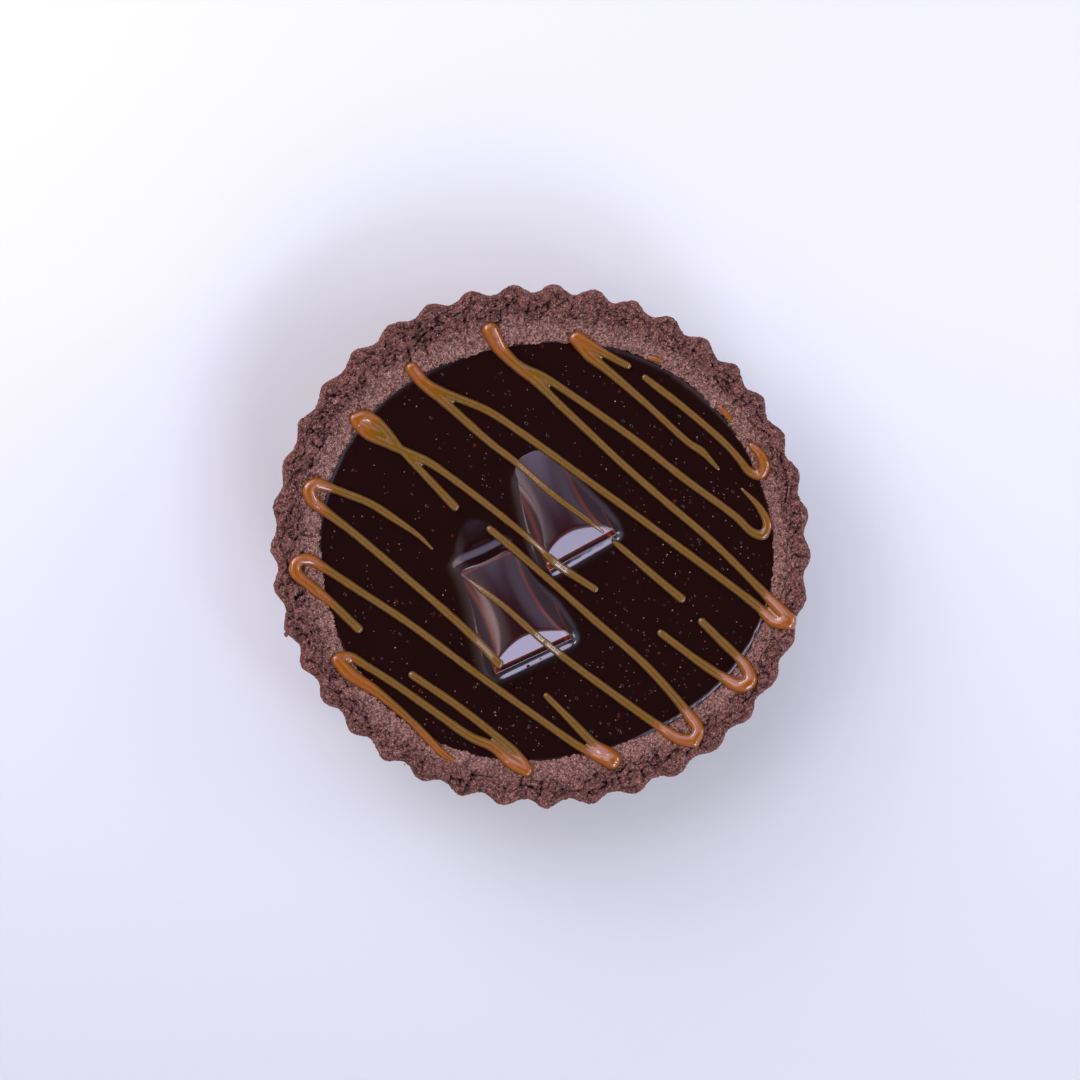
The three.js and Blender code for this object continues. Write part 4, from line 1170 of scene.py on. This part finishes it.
def tube(route, seed):
    xy = route[:, :2]
    tangent = np.gradient(xy, axis=0)
    tangent /= np.linalg.norm(tangent, axis=1, keepdims=True)
    spread = [landing(*(xy + k * DRAPE * tangent).T) for k in (-1, -0.5, 0, 0.5, 1)]
    lay = np.mean(spread, axis=0)
    travelled = np.concatenate([[0], np.cumsum(np.hypot(*np.diff(xy, axis=0).T))])
    swell = 1 + 0.06 * noise(travelled / 2.2, 0.5, seed) + 0.03 * noise(travelled / 0.8, 0.5, seed)
    half = route[:, 2] / 2 * swell
    on_pastry = smoothstep(-1.5, 1.5, np.hypot(*xy.T) - inner_radius(np.arctan2(*xy.T[::-1])))
    half = half * (1.06 + 0.22 * on_pastry)  # it piles up where it meets dry pastry
    reach = travelled[-1]
    rings = []
    for k in np.linspace(-1, 0, 5, endpoint=False):  # a round cap before the stroke
        rings.append((xy[0] + tangent[0] * k * half[0], tangent[0], lay[0],
                      half[0] * np.sqrt(1 - k * k) + 0.01))
    rings += list(zip(xy, tangent, lay, half))
    for k in np.linspace(1, 0, 5, endpoint=False)[::-1]:
        rings.append((xy[-1] + tangent[-1] * k * half[-1], tangent[-1], lay[-1],
                      half[-1] * np.sqrt(1 - k * k) + 0.01))
    turn = np.arange(TUBE_SIDES) / TUBE_SIDES * 2 * np.pi
    points = []
    for centre, (tx, ty), z, r in rings:
        side = r * np.cos(turn)
        points.append(np.stack([centre[0] - ty * side, centre[1] + tx * side,
                                z + (r * BEAD_RISE + 0.1 * min(1, r / 0.3)) * np.sin(turn)], axis=-1))
    points = np.vstack([[[*rings[0][0], rings[0][2]]], *points, [[*rings[-1][0], rings[-1][2]]]])
    return points, around_faces(len(rings), TUBE_SIDES), reach


routes = [smooth_route(stroke) for stroke in STROKES]
all_points, all_faces, total = [], [], 0
for seed, route in enumerate(routes):
    points, faces, reach = tube(route, 70 + seed)
    offset = sum(len(p) for p in all_points)
    all_points.append(points)
    all_faces += [[i + offset for i in face] for face in faces]
    total += reach
print(f"{len(routes)} strokes, {total:.0f} mm of caramel")

# %% Fuse and relax
VOXEL = 0.21
SMOOTHING = 8

raw = bpy.data.meshes.new("caramel_raw")
raw.from_pydata(np.vstack(all_points).tolist(), [], all_faces)
draft = bpy.data.objects.new("caramel_raw", raw)
bpy.context.scene.collection.objects.link(draft)
fuse = draft.modifiers.new("fuse", "REMESH")
fuse.mode = "VOXEL"
fuse.voxel_size = VOXEL
relax = draft.modifiers.new("relax", "SMOOTH")
relax.factor = 0.5
relax.iterations = SMOOTHING
evaluated = draft.evaluated_get(bpy.context.evaluated_depsgraph_get()).to_mesh()
syrup = np.zeros(len(evaluated.vertices) * 3)
evaluated.vertices.foreach_get("co", syrup)
syrup = syrup.reshape(-1, 3)
syrup_faces = [tuple(p.vertices) for p in evaluated.polygons]
draft.to_mesh_clear()
bpy.data.objects.remove(draft)
print("fused:", len(syrup), "points")

# %% [markdown]
# ### Finish: salted caramel, poured
# Boiled sugar and butter is clear amber. A thin strand takes on the black of the
# ganache below and looks olive gold, while over pastry and in the fat drops it glows
# orange. That depth is kept as `amber`, from the width of the strand and from what
# lies below it. Seen edge-on, light crosses more of it, so it darkens towards its
# sides. The surface is as smooth as glass, with an index near 1.48.

# %% How deep the caramel is, and what lies under it
tree_of_routes = kdtree.KDTree(sum(len(r) for r in routes))
widths = np.concatenate([r[:, 2] for r in routes])
for i, (x, y) in enumerate(np.vstack([r[:, :2] for r in routes])):
    tree_of_routes.insert((x, y, 0), i)
tree_of_routes.balance()
nearest = np.array([tree_of_routes.find((x, y, 0))[1] for x, y, _ in syrup])
thick = smoothstep(1.7, 2.2, widths[nearest])
theta = np.arctan2(syrup[:, 1], syrup[:, 0])
over_pastry = smoothstep(-2.5, 1.0, np.hypot(syrup[:, 0], syrup[:, 1]) - inner_radius(theta))
amber = np.clip(0.55 * thick + 0.8 * over_pastry, 0, 1)
print(f"{np.mean(amber > 0.5):.0%} of the caramel glows")

# %% Salted caramel
MURK = 0.0009  # metres, butter that clouds the syrup

caramel_finish, tree = new_material("poured_salted_caramel")
place = add_node(tree, "ShaderNodeTexCoord").outputs["Object"]
depth = add_node(tree, "ShaderNodeAttribute", attribute_name="amber")
murk = add_node(tree, "ShaderNodeTexNoise", {
    "Vector": place, "Scale": 1 / MURK, "Detail": 5.0, "Roughness": 0.75})
thin = add_node(tree, "ShaderNodeMix", {
    FACTOR: murk.outputs["Fac"], FIRST: linear("#5C420B"), SECOND: linear("#785410"),
}, data_type="RGBA")
thick_glow = add_node(tree, "ShaderNodeMix", {
    FACTOR: murk.outputs["Fac"], FIRST: linear("#7C4104"), SECOND: linear("#9A5806"),
}, data_type="RGBA")
syrup_colour = add_node(tree, "ShaderNodeMix", {
    FACTOR: depth.outputs["Fac"], FIRST: thin.outputs[MIXED],
    SECOND: thick_glow.outputs[MIXED]}, data_type="RGBA")
view = add_node(tree, "ShaderNodeLayerWeight", {"Blend": 0.5})
edge_on = add_node(tree, "ShaderNodeMapRange", {
    "Value": view.outputs["Facing"], "From Min": 0.25, "From Max": 0.8, "To Max": 0.75})
deepened = add_node(tree, "ShaderNodeMix", {
    FACTOR: edge_on.outputs["Result"], FIRST: syrup_colour.outputs[MIXED],
    SECOND: linear("#3A2006")}, data_type="RGBA")
surface = add_node(tree, "ShaderNodeBsdfPrincipled", {
    "Base Color": deepened.outputs[MIXED], "Roughness": 0.2, "IOR": 1.48,
    "Specular IOR Level": 0.2,
    "Subsurface Weight": 0.15, "Subsurface Scale": 0.0006,
    "Coat Weight": 1.0, "Coat Roughness": 0.03})
add_node(tree, "ShaderNodeOutputMaterial", {"Surface": surface.outputs["BSDF"]})

caramel = add_piece("caramel_drizzle", syrup, syrup_faces, caramel_finish,
                    attributes={"amber": amber})
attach(caramel, "root")

# %% [markdown]
# ## Bubbles in the ganache
# Pouring beats a little air into the ganache. The bubbles rise and set as tiny domes
# that are only seen by the points of light on them. They are real little domes here,
# joined into one mesh, and lie at random where the surface is open, more of them
# towards the side that was filled last.

# %% Where the surface is open
def open_spots(count, clearance):
    """Random points on bare ganache, clear of strands, chocolate and pastry."""
    spots = []
    while len(spots) < count:
        x, y = rng.uniform(-44, 44, 2)
        if np.hypot(x, y) > inner_radius(np.arctan2(y, x)) - 1.2:
            continue
        if rng.uniform() > 0.45 + 0.55 * smoothstep(-30, 30, x - y):
            continue
        if tree_of_routes.find((x, y, 0))[2] < clearance:
            continue
        if max(bar_top(p, np.array([x]), np.array([y]))[0]
               for p in (FRONT_PIECE, BACK_PIECE)) > GANACHE_LEVEL - 1:
            continue
        spots.append((x, y))
    return spots


def joined(shapes):
    """Several (points, faces) as one."""
    points = np.vstack([p for p, _ in shapes])
    starts = np.cumsum([0] + [len(p) for p, _ in shapes[:-1]])
    faces = [[i + start for i in face] for (_, fs), start in zip(shapes, starts) for face in fs]
    return points, faces


# %% Bubble domes
BUBBLE_SIDES = 12
BUBBLE_COUNT = 300
PROFILE = [  # radius and height of each ring, in parts of the bubble's radius
    (1.4, -0.1), (1.1, 0.0), (1.0, 0.14), (0.85, 0.26), (0.6, 0.3), (0.3, 0.28),
]


def dome(x, y, radius):
    turn = np.arange(BUBBLE_SIDES) / BUBBLE_SIDES * 2 * np.pi
    level = ganache_height(np.array([x]), np.array([y]))[0]
    rings = [np.stack([x + radius * r * np.cos(turn), y + radius * r * np.sin(turn),
                       np.full(BUBBLE_SIDES, level + radius * h)], axis=-1)
             for r, h in PROFILE]
    points = np.vstack([[[x, y, level - 0.3]], *rings, [[x, y, level + radius * 0.26]]])
    return points, around_faces(len(PROFILE), BUBBLE_SIDES)


domes = []
for x, y in open_spots(BUBBLE_COUNT, 1.2):
    domes.append(dome(x, y, rng.uniform(0.09, 0.19) * rng.choice([0.8, 1, 1, 1.7])))
bubbles = add_piece("ganache_bubbles", *joined(domes), ganache_finish)
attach(bubbles, "root")
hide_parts("ganache")

# %% [markdown]
# ## Crumbs
# Broken shortcrust sheds crumbs. Some lie on the rim, one hangs from its lip, and the
# finest stick to the ganache as pale specks. Each is a small lump with its own facets,
# sunk a little into the surface it lies on.

# %% Loose crumbs
CRUMB_COUNT = 150
SPECK_COUNT = 320
HANGING_CRUMB = (-48.2, -16.9, 18.6)


def lump(x, y, z, size, seed):
    turn = np.arange(7) / 7 * 2 * np.pi
    local = np.random.default_rng(seed)
    rings = []
    for tip in (-0.75, -0.2, 0.35, 0.8):
        r = size * np.sqrt(1 - tip * tip) * local.uniform(0.7, 1.25, 7)
        rings.append(np.stack([x + r * np.cos(turn), y + r * np.sin(turn),
                               z + size * 0.8 * (tip + local.uniform(-0.12, 0.12, 7))], axis=-1))
    points = np.vstack([[[x, y, z - size * 0.8]], *rings, [[x, y, z + size * 0.8]]])
    return points, around_faces(4, 7)


crumbs = []
for k in range(CRUMB_COUNT):
    theta = rng.uniform(-np.pi, np.pi)
    share = rng.uniform(0.06, 0.9)
    radius = outer_radius(theta) + (inner_radius(theta) - outer_radius(theta)) * share
    size = rng.uniform(0.15, 0.36)
    z = rim_height(theta, np.array(share)) + 0.1
    crumbs.append(lump(radius * np.cos(theta), radius * np.sin(theta), z, size, k))
crumbs.append(lump(*HANGING_CRUMB, 0.5, 901))
for k, (x, y) in enumerate(open_spots(SPECK_COUNT, 1.3)):
    size = rng.uniform(0.08, 0.19)
    crumbs.append(lump(x, y, GANACHE_LEVEL, size, 1000 + k))
loose = add_piece("pastry_crumbs", *joined(crumbs), shortcrust, smooth=False)
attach(loose, "root")
